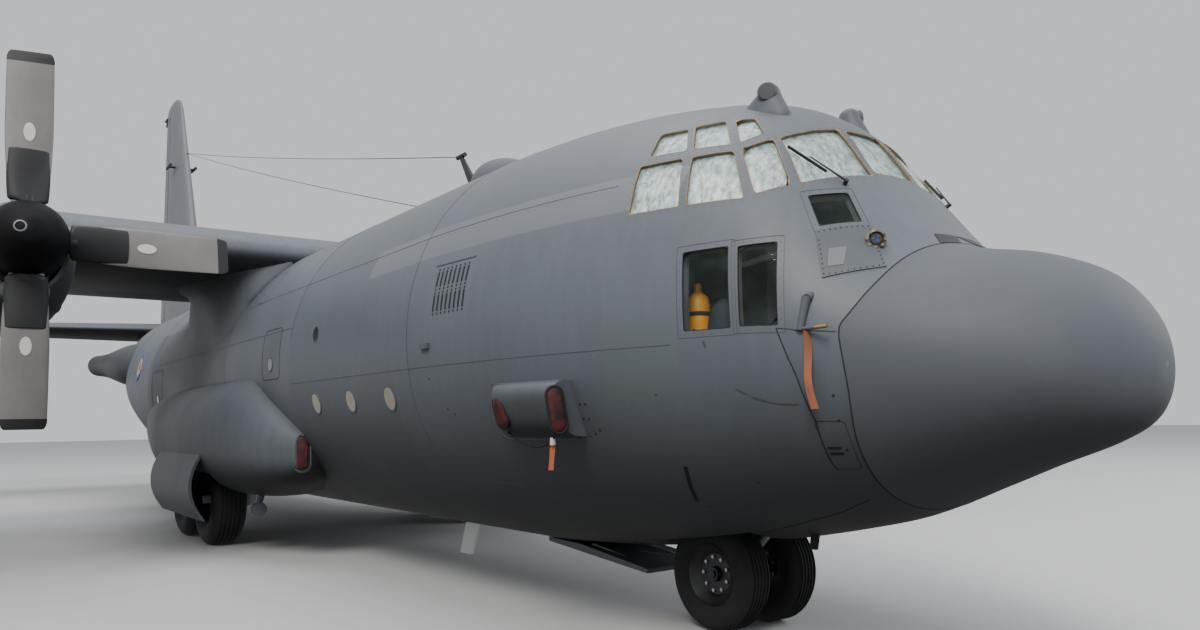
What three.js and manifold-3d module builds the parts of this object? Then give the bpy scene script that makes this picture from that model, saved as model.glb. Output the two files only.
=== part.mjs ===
// Four-engined military transport plane, standing on its gear, as a half-size scale model.
// Sizes are those of the full-size plane in millimetres; the whole group is scaled at the end.
// X points to the port wing, Y is the station measured aft from the nose tip, Z is up from the ground.

import * as THREE from 'three';
import { mergeVertices } from 'three/addons/utils/BufferGeometryUtils.js';
import Module from 'manifold-3d';

const wasm = await Module();
wasm.setup();

const MODEL_SCALE = 0.5;
const LENGTH = 29790;
const HALF_SPAN = 20205;
const HEIGHT = 11660;
const GAP = 0.8;          // between pieces that rest on each other
const CLEAR = 20;         // around a panel or surface that moves
const HINGE_GAP = 1.2;    // between a round nose or knuckle and what carries it
const HINGE_NOSE = 0.96;  // radius of a control surface's nose, as a share of the foil's half thickness
const SIDES = { port: 1, starboard: -1 };

// Fuselage
const RING_POINTS = 24;
const NOSE_SEAM = 1380;
const FORWARD_JOINT = 5790;
const RAMP_STATION = 18200;
const TAIL_JOINT = 26800;
const WALL = 110;
const AFT_WALL = 60;
const FLOOR_TOP = 1040;
const FLOOR_THICKNESS = 90;
const DECK_TOP = 2350;

// Station, top, bottom, height of the widest line, half width, exponent of the lower half
const HULL = [
  [0, 2110, 2070, 2090, 20, 2.0],
  [30, 2300, 1880, 2090, 190, 2.0],
  [120, 2480, 1740, 2100, 390, 2.0],
  [320, 2690, 1620, 2110, 640, 2.0],
  [700, 2860, 1470, 2150, 910, 2.1],
  [1150, 2970, 1280, 2220, 1130, 2.2],
  [1400, 3150, 1170, 2270, 1240, 2.2],
  [1750, 3570, 1040, 2340, 1390, 2.2],
  [2120, 4060, 950, 2400, 1520, 2.2],
  [2600, 4360, 850, 2460, 1680, 2.2],
  [3200, 4520, 750, 2520, 1840, 2.15],
  [3900, 4630, 660, 2570, 1970, 2.1],
  [4800, 4710, 580, 2600, 2070, 2.05],
  [5790, 4740, 540, 2620, 2120, 2.05],
  [18200, 4740, 540, 2620, 2120, 2.05],
  [19500, 4740, 800, 2640, 2110, 2.2],
  [21500, 4740, 1450, 2800, 2020, 2.5],
  [23500, 4735, 2250, 3120, 1790, 2.7],
  [25100, 4725, 2950, 3480, 1450, 2.7],
  [26800, 4710, 3650, 4000, 950, 2.5],
  [28300, 4690, 4150, 4400, 520, 2.2],
  [29300, 4660, 4400, 4530, 240, 2.0],
  [LENGTH, 4580, 4500, 4540, 40, 2.0],
];

// Cockpit side windows: bottom, top, fore and aft station at the bottom, fore and aft station at the top
const SIDE_WINDOWS = [
  [3330, 3780, 2560, 2990, 2710, 3080],
  [3330, 3780, 2130, 2520, 2390, 2670],
  [3360, 3820, 1930, 2085, 2240, 2350],
  [3830, 4100, 2740, 3070, 2910, 3140],
  [3830, 4110, 2430, 2700, 2650, 2880],
  [3900, 4110, 2300, 2410, 2500, 2610],
  [2420, 3000, 2060, 2400, 2130, 2460],
  [2410, 2990, 1740, 1990, 1840, 2060],
];
// Windscreen panes: bottom, top, inner and outer half width at the bottom, the same at the top
const SCREEN_PANES = [
  [3580, 4000, 310, 920, 290, 790],
  [3110, 3350, 780, 1020, 690, 940],
];
const CENTRE_PANE = { bottom: 3590, top: 4010, half: 250 };
const GLASS_BAND = { from: 1590, to: 3260, bottom: 2372, depth: 34 };

// Crew door on the port side, hinged at its sill
const CREW_DOOR = { fore: 4000, aft: 4750, bottom: 1060, top: 2250 };
const CREW_KNUCKLE = { radius: 34, length: 90, starts: [120, 560] };

// Wings, by foil rows: span, leading edge, chord, height of the leading edge, thickness ratio, incidence
// in degrees
const DIHEDRAL = Math.tan(THREE.MathUtils.degToRad(2.5));
const WING_JOINT = 5590;
const WING_HEIGHT = 4500;
const wingRise = (span) => WING_HEIGHT + DIHEDRAL * (span - WING_JOINT);
const WING = {
  camber: 0.02,
  rows: [
    [0, 11800, 4880, WING_HEIGHT, 0.18, 3],
    [WING_JOINT, 11800, 4880, WING_HEIGHT, 0.18, 3],
    [19700, 12530, 2520, wingRise(19700), 0.12, 0],
    [20040, 12640, 2280, wingRise(20040), 0.11, 0],
    [HALF_SPAN, 12960, 1600, wingRise(HALF_SPAN) - 20, 0.06, 0],
  ],
};
const WING_SKIN = 55;
const FLAP_FRACTION = 0.73;
const FLAPS = {
  inner: { name: 'inner', from: 2200, to: 5560, ribs: [2900, 4600] },
  outer: { name: 'outer', from: 5640, to: 12860, ribs: [7600, 11400] },
};
const SLANT_END_CLEAR = 40;   // at the ends of surfaces whose hinge line is slanted
// Hollow curve from the hull to the wing's underside: station, drop down the hull, reach along the wing
const WING_ROOT = [
  [11860, 120, 90],
  [12050, 480, 420],
  [12500, 750, 780],
  [13300, 950, 1000],
  [14400, 900, 850],
  [15250, 800, 560],
  [16000, 600, 380],
  [16600, 80, 60],
];
const RIB_HALF = 35;
const RIB_DEPTH = 260;
const BAY_HALF = 800;         // above and below the line that a bay follows
const BEHIND = 6000;          // reaches past the rear of every foil
const AILERON_ENDS = [13100, 19450];
const AILERON_RIBS = [14200, 16300, 18400];
const AILERON_HINGE = 0.77;

// Fin and tailplane, by foil rows as for the wings
const TAILPLANE = {
  camber: 0,
  rows: [
    [0, 25000, 4100, 4530, 0.12, 0],
    [7700, 26920, 2180, 4530, 0.10, 0],
    [8025, 27350, 1500, 4530, 0.06, 0],
  ],
};
const ELEVATOR = { hinge: 27850, inner: 960, outer: 7560, ribs: [1900, 4300, 6700] };
const FIN = {
  camber: 0,
  rows: [
    [4300, 23130, 5650, 0, 0.12, 0],
    [7100, 24300, 4230, 0, 0.12, 0],
    [11200, 25980, 2060, 0, 0.11, 0],
    [11520, 26180, 1800, 0, 0.10, 0],
    [HEIGHT, 26620, 1240, 0, 0.06, 0],
  ],
};
const RUDDER = { hinge: 27200, bottom: 5060, top: 11180, ribs: [5900, 8000, 10200] };
const DORSAL = {
  from: 19600, to: 24400, foot: 4650, top: 6350, halfWidth: 150, edge: [[19600, 4745], [22300, 5280]],
};
const TAIL_SKIN = 32;

// Engines: places of the propeller hubs, counted from port
const HUB_HEIGHT = 3850;
const INNER_ENGINE = 4980;
const OUTER_ENGINE = 10100;
const PROP_PLANE = 9100;
const ENGINES = [
  { number: 1, x: OUTER_ENGINE, z: HUB_HEIGHT + DIHEDRAL * (OUTER_ENGINE - WING_JOINT) },
  { number: 2, x: INNER_ENGINE, z: HUB_HEIGHT },
  { number: 3, x: -INNER_ENGINE, z: HUB_HEIGHT },
  { number: 4, x: -OUTER_ENGINE, z: HUB_HEIGHT + DIHEDRAL * (OUTER_ENGINE - WING_JOINT) },
];
const NACELLE_WALL = 40;
// Station, half width, top and bottom measured from the propeller axis
const NACELLE = [
  [9360, 430, 440, -560],
  [9650, 520, 520, -800],
  [10500, 590, 600, -880],
  [11600, 610, 700, -860],
  [12700, 580, 640, -720],
  [13700, 420, 440, -430],
  [14250, 270, 260, -190],
];

// Propeller blade: radius, chord, thickness, pitch in degrees from the plane of rotation
const BLADE = [
  [300, 300, 150, 14],
  [620, 400, 88, 6],
  [1250, 450, 48, -5],
  [1960, 445, 22, -12],
  [2057, 380, 14, -13],
];
const BLADE_COUNT = 4;
const SPINNER_RADIUS = 410;
const SHAFT_RADIUS = 60;

// Landing gear
const MAIN_TYRE = { radius: 690, width: 500, x: 2175 };
const MAIN_WHEELS = { front: 12440, rear: 13960 };
const MAIN_STRUT_X = 1730;
const NOSE_TYRE = { radius: 480, width: 310, x: 290 };
const NOSE_WHEEL_STATION = 3450;
const WELL = { from: 11500, to: 14900, inner: 1250, outer: 2560, top: 1800 };
const NOSE_WELL = { from: 2720, to: 4160, half: 670, top: 1900, wall: 40 };
// Gear pods: station, centre distance, half width, centre height, half height
const POD = [
  [9400, 1900, 120, 1450, 240],
  [9650, 1850, 390, 1460, 400],
  [10200, 1750, 700, 1540, 620],
  [11000, 1560, 1100, 1650, 870],
  [11600, 1500, 1200, 1660, 900],
  [14700, 1500, 1200, 1660, 890],
  [15900, 1550, 1030, 1740, 740],
  [16900, 1700, 720, 1880, 500],
  [17150, 1800, 540, 1930, 380],
];

// Air scoop on the starboard side; each row has a station and the depth out from the skin
const SCOOP = {
  bottom: 1700,
  top: 2120,
  chamfer: 80,
  root: 90,
  rows: [[3480, 150], [3560, 240], [4400, 240], [4560, 140]],
};
const ROOF_DOME = { station: 7430, height: 4730, radius: 470 };

// Cone on each side of the tail: station, distance from the middle, height, radius
const TAIL_POD = [
  [21900, 1480, 3340, 260],
  [22700, 1600, 3350, 540],
  [24200, 2080, 3410, 300],
  [24650, 2225, 3430, 270],
];

// Rear ramp and cargo door
const OPENING_HALF = 1400;
const RAMP_HINGE = { station: 18265, height: 645 };
const RAMP_KNUCKLE = { radius: 45, halfLength: 120, places: [-400, 400] };
const RAMP_END = 21500;
const RAMP_END_TOP = 1720;
const REAR_DOOR_HINGE = { station: 25100, height: 3060 };
const REAR_KNUCKLE = { radius: 45, halfLength: 110, places: [-600, 600] };
const REAR_DOOR_RADIUS = 3940;
const REAR_DOOR_END_HALF = 1050;

const PARATROOP_DOOR = { fore: 17200, aft: 18110, bottom: 1080, top: 2900 };

const paint = (color, roughness, metalness) => new THREE.MeshStandardMaterial({ color, roughness, metalness });
const MATERIALS = {
  grey: paint(0x747c82, 0.62, 0.1),
  nose: paint(0x6c7479, 0.5, 0.05),
  glass: new THREE.MeshStandardMaterial({
    color: 0x2c3a40, roughness: 0.08, metalness: 0, transparent: true, opacity: 0.35,
  }),
  cabin: paint(0x3d4246, 0.7, 0.1),
  seat: paint(0x30343a, 0.85, 0),
  floor: paint(0x5a5f62, 0.75, 0.3),
  engine: paint(0x6a6660, 0.5, 0.8),
  blade: paint(0x1b1c1d, 0.5, 0.1),
  tyre: paint(0x141414, 0.85, 0),
  gear: paint(0xc4c8ca, 0.4, 0.4),
  antenna: paint(0xdcdedd, 0.5, 0),
};

const plane = new THREE.Group();
const Y_AXIS = new THREE.Vector3(0, 1, 0);

// Solids

function solidFrom(geometry) {
  const bare = geometry.clone();
  bare.deleteAttribute('normal');
  bare.deleteAttribute('uv');
  const merged = mergeVertices(bare, 1e-3);
  const vertProperties = new Float32Array(merged.attributes.position.array);
  const triVerts = new Uint32Array(merged.index.array);
  return new wasm.Manifold(new wasm.Mesh({ numProp: 3, vertProperties, triVerts }));
}

function addPiece(name, solid, material) {
  const { numProp, vertProperties, triVerts } = solid.getMesh();
  const geometry = new THREE.BufferGeometry();
  geometry.setAttribute('position', new THREE.BufferAttribute(vertProperties, numProp));
  geometry.setIndex(new THREE.BufferAttribute(triVerts, 1));
  const mesh = new THREE.Mesh(geometry, material);
  mesh.name = name;
  plane.add(mesh);
}

// A closed skin over rings of equal point count, with a fan from the middle of each end ring
function loft(rings) {
  const count = rings[0].length;
  const points = rings.flat();
  const triangles = [];
  for (let r = 0; r + 1 < rings.length; r += 1) {
    for (let i = 0; i < count; i += 1) {
      const a = r * count + i;
      const b = r * count + ((i + 1) % count);
      triangles.push([a, b, b + count], [a, b + count, a + count]);
    }
  }
  for (const end of [0, rings.length - 1]) {
    const middle = new THREE.Vector3();
    rings[end].forEach((point) => middle.addScaledVector(point, 1 / count));
    points.push(middle);
    for (let i = 0; i < count; i += 1) {
      const edge = [end * count + i, end * count + ((i + 1) % count)];
      triangles.push(end === 0 ? [edge[1], edge[0], points.length - 1] : [...edge, points.length - 1]);
    }
  }
  const volume = triangles.reduce((sum, [a, b, c]) => {
    const normal = new THREE.Vector3().crossVectors(points[b], points[c]);
    return sum + points[a].dot(normal);
  }, 0);
  const outward = volume > 0 ? triangles : triangles.map(([a, b, c]) => [a, c, b]);
  const geometry = new THREE.BufferGeometry().setFromPoints(points);
  geometry.setIndex(outward.flat());
  return solidFrom(geometry);
}

function box(x0, x1, y0, y1, z0, z1) {
  const geometry = new THREE.BoxGeometry(x1 - x0, y1 - y0, z1 - z0);
  geometry.translate((x0 + x1) / 2, (y0 + y1) / 2, (z0 + z1) / 2);
  return solidFrom(geometry);
}

// A round bar from one point to another; the second radius makes it a cone
function bar(from, to, radius, endRadius = radius, sides = 16) {
  const along = new THREE.Vector3().subVectors(to, from);
  const geometry = new THREE.CylinderGeometry(endRadius, radius, along.length(), sides);
  geometry.applyQuaternion(new THREE.Quaternion().setFromUnitVectors(Y_AXIS, along.clone().normalize()));
  geometry.translate(...from.clone().add(to).multiplyScalar(0.5).toArray());
  return solidFrom(geometry);
}

const at = (x, y, z) => new THREE.Vector3(x, y, z);

// A prism through the whole height over a plan outline of [x, station] points
function planPrism(outline, z0, z1) {
  const ring = (z) => outline.map(([x, y]) => at(x, y, z));
  return loft([ring(z0), ring(z1)]);
}

// A prism across the plane over a side outline of [station, height] points
function sidePrism(outline, x0, x1) {
  const ring = (x) => outline.map(([y, z]) => at(x, y, z));
  return loft([ring(x0), ring(x1)]);
}

const union = (solids) => solids.reduce((sum, next) => sum.add(next));
const without = (solid, cutters) => cutters.reduce((left, cutter) => left.subtract(cutter), solid);

// Fuselage sections

function rowAt(rows, where) {
  const next = rows.findIndex((row, i) => i > 0 && row[0] >= where);
  const upper = rows[next < 0 ? rows.length - 1 : next];
  const lower = rows[(next < 0 ? rows.length - 1 : next) - 1];
  const t = (where - lower[0]) / (upper[0] - lower[0]);
  return upper.map((value, i) => lower[i] + (value - lower[i]) * t);
}

function hullRing(station, grow) {
  const [, top, bottom, wide, half, lowerPower] = rowAt(HULL, station);
  return Array.from({ length: RING_POINTS }, (_, i) => {
    const angle = (2 * Math.PI * (i + 0.5)) / RING_POINTS;
    const across = Math.cos(angle);
    const up = Math.sin(angle);
    const power = 2 / (up >= 0 ? 2 : lowerPower);
    const reach = up >= 0 ? top + grow - wide : wide - bottom + grow;
    const x = Math.sign(across) * (half + grow) * Math.abs(across) ** power;
    return at(x, station, wide + Math.sign(up) * reach * Math.abs(up) ** power);
  });
}

function hullBlock(from, to, grow = 0) {
  const between = HULL.map((row) => row[0]).filter((station) => station > from + 1 && station < to - 1);
  return loft([from, ...between, to].map((station) => hullRing(station, grow)));
}

// A point on the skin of the nose, found from its station and height
function skinPoint(station, height, side) {
  const [, top, bottom, wide, half, lowerPower] = rowAt(HULL, station);
  const power = height > wide ? 2 : lowerPower;
  const reach = height > wide ? top - wide : wide - bottom;
  const x = half * (1 - (Math.abs(height - wide) / reach) ** power) ** (1 / power);
  return at(side * x, station, height);
}

// A point on the front of the nose, found from its half width and height by halving
function frontPoint(x, height) {
  let [low, high] = [1400, 3200];
  for (let step = 0; step < 24; step += 1) {
    const middle = (low + high) / 2;
    const [, top, , wide, half] = rowAt(HULL, middle);
    const inside = (x / half) ** 2 + ((height - wide) / (top - wide)) ** 2 < 1;
    if (inside) high = middle;
    else low = middle;
  }
  return at(x, high, height);
}

// Cockpit windows, as outlines of four corners on the skin

function windowOutlines() {
  const outlines = [];
  for (const side of Object.values(SIDES)) {
    for (const [bottom, top, foreLow, aftLow, foreHigh, aftHigh] of SIDE_WINDOWS) {
      outlines.push([
        skinPoint(foreLow, bottom, side), skinPoint(aftLow, bottom, side),
        skinPoint(aftHigh, top, side), skinPoint(foreHigh, top, side),
      ]);
    }
    for (const [bottom, top, innerLow, outerLow, innerHigh, outerHigh] of SCREEN_PANES) {
      outlines.push([
        frontPoint(side * innerLow, bottom), frontPoint(side * outerLow, bottom),
        frontPoint(side * outerHigh, top), frontPoint(side * innerHigh, top),
      ]);
    }
  }
  const { bottom, top, half } = CENTRE_PANE;
  const centre = [[-half, bottom], [half, bottom], [half, top], [-half, top]];
  outlines.push(centre.map(([x, height]) => frontPoint(x, height)));
  return outlines;
}

function windowPlug(corners, shrink, outside, inside) {
  const middle = corners.reduce((sum, corner) => sum.addScaledVector(corner, 0.25), at(0, 0, 0));
  const diagonals = [0, 1].map((i) => new THREE.Vector3().subVectors(corners[i + 2], corners[i]));
  const normal = new THREE.Vector3().crossVectors(diagonals[0], diagonals[1]).normalize();
  const core = at(0, 3400, 2600);
  if (normal.dot(new THREE.Vector3().subVectors(middle, core)) < 0) normal.negate();
  const ring = (distance) => corners.map((corner) => {
    const inward = new THREE.Vector3().subVectors(middle, corner).setLength(shrink);
    return corner.clone().add(inward).addScaledVector(normal, distance);
  });
  return loft([ring(outside), ring(-inside)]);
}

function roofSensor(side) {
  const geometry = new THREE.SphereGeometry(1, 8, 6);
  geometry.scale(150, 360, 190);
  geometry.translate(side * 480, 2740, 4270);
  return solidFrom(geometry);
}

// The crew door swings about its sill, so its ends are square to the sill line
const CREW_SILL = [CREW_DOOR.fore, CREW_DOOR.aft].map((station) => (
  skinPoint(station, CREW_DOOR.bottom, SIDES.port)
));
const ALONG_SILL = new THREE.Vector3().subVectors(CREW_SILL[1], CREW_SILL[0]).normalize();
const onSill = (end, along) => CREW_SILL[end].clone().addScaledVector(ALONG_SILL, along);

function crewDoorCut(margin) {
  const outward = at(ALONG_SILL.y, -ALONG_SILL.x, 0);
  const corners = [[0, -500], [1, -500], [1, 1200], [0, 1200]].map(([end, out]) => (
    onSill(end, end ? margin : -margin).addScaledVector(outward, out)
  ));
  return planPrism(corners.map(({ x, y }) => [x, y]), CREW_DOOR.bottom - margin, CREW_DOOR.top + margin);
}

function crewKnuckles(margin) {
  const { radius, length, starts } = CREW_KNUCKLE;
  return union(starts.map((start) => bar(
    onSill(0, start - margin), onSill(0, start + length + margin), radius + margin * 1.4,
  )));
}

function noseWellBox(margin, bottom) {
  const { from, to, half, top } = NOSE_WELL;
  return box(-half - margin, half + margin, from - margin, to + margin, bottom, top + margin);
}

function buildNose() {
  addPiece('radome', hullBlock(0, NOSE_SEAM), MATERIALS.nose);

  const skin = union([hullBlock(NOSE_SEAM + GAP, FORWARD_JOINT), ...Object.values(SIDES).map(roofSensor)]);
  const hollow = hullBlock(NOSE_SEAM + 170, FORWARD_JOINT + 10, -WALL);
  const wellLining = noseWellBox(NOSE_WELL.wall, 600).intersect(hullBlock(NOSE_SEAM + 170, FORWARD_JOINT, -20));
  const cutters = windowOutlines().map((corners) => windowPlug(corners, 0.01, 90, 330));
  cutters.push(noseWellBox(0, 400), crewDoorCut(CLEAR), crewKnuckles(HINGE_GAP));
  addPiece('forward_fuselage', without(skin.subtract(hollow).add(wellLining), cutters), MATERIALS.grey);

  const leaf = hullBlock(3800, 5000).subtract(hullBlock(3790, 5010, -WALL)).intersect(crewDoorCut(0));
  addPiece('crew_door', leaf.add(crewKnuckles(0)), MATERIALS.grey);
}

function buildGlass() {
  const { from, to, bottom, depth } = GLASS_BAND;
  const inner = (grow) => hullBlock(NOSE_SEAM + 170, FORWARD_JOINT + 10, grow);
  const hollow = inner(-WALL - depth).subtract(box(-2200, 2200, 0, from + depth, 0, 5000));
  const liner = inner(-WALL - GAP).subtract(hollow);
  const band = liner.intersect(box(-2200, 2200, from, to, bottom, 4600));
  const wallSpace = hullBlock(NOSE_SEAM + GAP, FORWARD_JOINT, -14).subtract(inner(-WALL - depth / 2));
  const panes = windowOutlines().map((corners) => windowPlug(corners, GAP * 2, 60, 280).intersect(wallSpace));
  addPiece('cockpit_glass', union([band, ...panes]), MATERIALS.glass);
}

function buildFlightDeck() {
  const inside = hullBlock(1640, FORWARD_JOINT, -WALL - GAP);
  const upperFloor = box(-2100, 2100, 1700, 5600, DECK_TOP - 100, DECK_TOP);
  const ladderWell = box(350, 2100, 3850, 5400, 2200, 2400);
  const entryFloor = box(-600, 2100, 3950, 5600, FLOOR_TOP - FLOOR_THICKNESS, FLOOR_TOP);
  const bulkhead = box(-2200, 2200, 5500, 5600, 560, 4740);
  const doorways = [
    box(-420, 420, 5480, 5620, DECK_TOP, 4150),
    box(200, 1100, 5480, 5620, FLOOR_TOP, DECK_TOP - 150),
  ];
  const noseWell = noseWellBox(NOSE_WELL.wall + GAP, 400);
  const deck = without(union([upperFloor, entryFloor, bulkhead]), [ladderWell, noseWell, ...doorways]);
  addPiece('flight_deck', deck.intersect(inside), MATERIALS.cabin);

  const cabinSpace = hullBlock(1800, 3400, -WALL - GLASS_BAND.depth - 30);
  const panel = box(-1000, 1000, 1980, 2180, DECK_TOP + GAP, 3300);
  const pedestal = box(-190, 190, 2170, 2900, DECK_TOP + GAP, 2950);
  addPiece('instrument_panel', panel.add(pedestal).intersect(cabinSpace), MATERIALS.cabin);

  for (const [name, side] of Object.entries(SIDES)) {
    const middle = side * 640;
    const cushion = box(middle - 260, middle + 260, 2720, 3260, 2740, 2880);
    const back = box(middle - 260, middle + 260, 3180, 3300, 2800, 3800);
    const base = box(middle - 170, middle + 170, 2850, 3200, DECK_TOP + GAP, 2760);
    addPiece(`seat_${name}`, union([cushion, back, base]), MATERIALS.seat);
  }
}

// Foils: one section is a ring through the upper skin, the nose and the lower skin

const CHORD_STEPS = [0.9, 0.72, 0.5, 0.3, 0.15, 0.06, 0.015];
const THICKNESS_TERMS = [[0.5, 0.2969], [1, -0.126], [2, -0.3516], [3, 0.2843], [4, -0.1036]];
const halfThickness = (x) => 5 * THICKNESS_TERMS.reduce((sum, [power, factor]) => sum + factor * x ** power, 0);

function foilPoint(foil, row, x, offset) {
  const [, lead, chord, height, , incidence] = row;
  const tilt = THREE.MathUtils.degToRad(incidence);
  const along = x * chord;
  const up = foil.camber * chord * 4 * x * (1 - x) + offset;
  const station = lead + along * Math.cos(tilt) + up * Math.sin(tilt);
  return [station, height - along * Math.sin(tilt) + up * Math.cos(tilt)];
}

function foilRing(foil, span, place, grow) {
  const row = rowAt(foil.rows, span);
  const [, lead, chord, , ratio] = row;
  const grown = [row[0], lead - grow, chord + 2 * grow, row[3], ratio, row[5]];
  const half = (x) => halfThickness(x) * ratio * chord + grow;
  const upper = CHORD_STEPS.map((x) => foilPoint(foil, grown, x, half(x)));
  const lower = CHORD_STEPS.map((x) => foilPoint(foil, grown, x, -half(x))).reverse();
  const outline = [foilPoint(foil, grown, 1, 0), ...upper, foilPoint(foil, grown, 0, 0), ...lower];
  return outline.map(([station, level]) => place(span, station, level));
}

function foilCavityRing(foil, span, place, skin) {
  const row = rowAt(foil.rows, span);
  const [, , chord, , ratio] = row;
  const steps = [0.86, 0.66, 0.45, 0.25, 0.1];
  const half = (x) => Math.max(halfThickness(x) * ratio * chord - skin, 4);
  const upper = steps.map((x) => foilPoint(foil, row, x, half(x)));
  const lower = steps.map((x) => foilPoint(foil, row, x, -half(x))).reverse();
  return [...upper, ...lower].map(([station, level]) => place(span, station, level));
}

function spanSteps(foil, from, to) {
  const between = foil.rows.map((row) => row[0]).filter((span) => span > from + 1 && span < to - 1);
  return [from, ...between, to];
}

const foilBlock = (foil, from, to, place, grow = 0) => loft(
  spanSteps(foil, from, to).map((span) => foilRing(foil, span, place, grow)),
);
const foilCavity = (foil, from, to, place, skin) => loft(
  spanSteps(foil, from, to).map((span) => foilCavityRing(foil, span, place, skin)),
);

const acrossTo = (side) => (span, station, level) => at(side * span, station, level);
const upright = (span, station, level) => at(level, station, span);

// A straight line along a foil, from one span to another, at the station that is given for each foil row
function foilLine(foil, spans, stationOf) {
  const ends = spans.map((span) => {
    const row = rowAt(foil.rows, span);
    const station = stationOf(row);
    const x = (station - row[1]) / row[2];
    const radius = halfThickness(x) * row[4] * row[2] * HINGE_NOSE;
    return { span, station, level: foilPoint(foil, row, x, 0)[1], radius };
  });
  const atSpan = (span) => {
    const t = (span - ends[0].span) / (ends[1].span - ends[0].span);
    const between = (key) => THREE.MathUtils.lerp(ends[0][key], ends[1][key], t);
    return { station: between('station'), level: between('level'), radius: between('radius') };
  };
  return { ends, atSpan, deepest: Math.max(ends[0].radius, ends[1].radius) };
}

// A block in a foil's own directions
function foilBox(place, [fromSpan, toSpan], stations, levels) {
  const ring = (span, i) => [[0, 0], [1, 0], [1, 1], [0, 1]]
    .map(([behind, up]) => place(span, stations[i][behind], levels[i][up]));
  return loft([ring(fromSpan, 0), ring(toSpan, 1)]);
}

// The space behind a line, moved aft by a shift and lengthened by a margin at both ends
function spaceBehind(line, place, shift, margin) {
  const [from, to] = line.ends;
  return foilBox(
    place,
    [from.span - margin, to.span + margin],
    [from, to].map(({ station }) => [station + shift, station + BEHIND]),
    [from, to].map(({ level }) => [level - BAY_HALF, level + BAY_HALF]),
  );
}

// A rib at the open rear of a foil, with a pad that reaches to what moves behind it
function rearRib(whole, place, line, span, faceOf, reachOf) {
  const spans = [span - RIB_HALF, span + RIB_HALF];
  const ends = spans.map(line.atSpan);
  const faces = ends.map(faceOf);
  const slab = foilBox(
    place,
    spans,
    faces.map((face) => [face - RIB_DEPTH, face]),
    ends.map(({ level }) => [level - BAY_HALF, level + BAY_HALF]),
  );
  const pad = foilBox(
    place,
    spans,
    ends.map((end, i) => [faces[i] - 40, reachOf(end)]),
    ends.map(({ level, radius }) => [level - radius / 2, level + radius / 2]),
  );
  return whole.intersect(slab).add(pad);
}

const hingeRib = (whole, place, line, span) => rearRib(
  whole, place, line, span,
  ({ station }) => station - line.deepest - CLEAR,
  ({ station, radius }) => station - radius - HINGE_GAP,
);
const trackRib = (whole, place, line, span) => rearRib(
  whole, place, line, span,
  ({ station }) => station,
  ({ station }) => station + CLEAR - HINGE_GAP,
);

// A control surface with a round nose on its hinge line
function controlSurface(foil, place, line) {
  const [from, to] = line.ends;
  const [start, end] = line.ends.map(({ span, station, level }) => place(span, station, level));
  const round = bar(start, end, from.radius, to.radius, 20);
  const whole = foilBlock(foil, from.span - 60, to.span + 60, place);
  return whole.intersect(spaceBehind(line, place, 0, 0)).add(round);
}

// What the wing and the tailplane take out of their neighbours
const wingSpace = () => union(Object.values(SIDES).map(acrossTo).flatMap((place) => [
  foilBlock(WING, 0, WING_JOINT, place, GAP),
  foilBlock(WING, WING_JOINT, HALF_SPAN, place, GAP),
]));
const tailplaneSpace = () => union(Object.values(SIDES).map(acrossTo).map((place) => (
  foilBlock(TAILPLANE, 0, TAILPLANE.rows.at(-1)[0], place, GAP)
)));

const bayFor = (line, place, margin = CLEAR) => spaceBehind(line, place, -line.deepest - CLEAR, margin);

// Wings

const wingLine = (spans, fraction) => foilLine(WING, spans, (row) => foilPoint(WING, row, fraction, 0)[0]);
const flapLine = ({ from, to }) => wingLine([from, to], FLAP_FRACTION);
const aileronLine = wingLine(AILERON_ENDS, AILERON_HINGE);

function buildFlaps(name, place) {
  for (const flap of Object.values(FLAPS)) {
    const line = flapLine(flap);
    const whole = foilBlock(WING, flap.from - 60, flap.to + 60, place);
    const leaf = whole.intersect(spaceBehind(line, place, CLEAR, 0));
    addPiece(`flap_${flap.name}_${name}`, leaf, MATERIALS.grey);
  }
}

// The height of the wing's underside next to the hull
function undersideAt(station) {
  const row = WING.rows[0];
  const [, lead, chord, , ratio] = row;
  const x = THREE.MathUtils.clamp((station - lead) / chord, 0, 1);
  return foilPoint(WING, row, x, -halfThickness(x) * ratio * chord)[1];
}

function wingRoot(side) {
  const bend = [[0, 0], [0.1, 0.45], [0.4, 0.85], [1, 1]];
  return loft(WING_ROOT.map(([station, drop, reach]) => {
    const top = undersideAt(station);
    const foot = Math.abs(skinPoint(station, top - drop, side).x);
    const far = Math.abs(skinPoint(station, top, side).x) + reach;
    const curve = bend.map(([out, up]) => [foot + (far - foot) * out, top - drop * (1 - up)]);
    const inside = foot - 200;
    const outline = [[inside, top - drop], ...curve, [far, top + WING_SKIN], [inside, top + WING_SKIN]];
    return outline.map(([x, z]) => at(side * x, station, z));
  })).subtract(hullBlock(FORWARD_JOINT, RAMP_STATION, GAP));
}

function buildCentreWing() {
  const places = Object.values(SIDES).map(acrossTo);
  const line = flapLine({ from: FLAPS.inner.from, to: WING_JOINT + 20 });
  const halves = places.map((place) => foilBlock(WING, 0, WING_JOINT, place));
  const bays = places.map((place) => spaceBehind(line, place, 0, CLEAR));
  const cavities = places.map((place) => foilCavity(WING, 0, WING_JOINT + 10, place, WING_SKIN));
  const ribs = places.flatMap((place, i) => (
    FLAPS.inner.ribs.map((span) => trackRib(halves[i], place, line, span))
  ));
  const roots = Object.values(SIDES).map(wingRoot);
  const middle = without(union(halves), [...bays, union(cavities)]);
  addPiece('wing_centre', union([middle, ...ribs, ...roots]), MATERIALS.grey);
}

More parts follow.
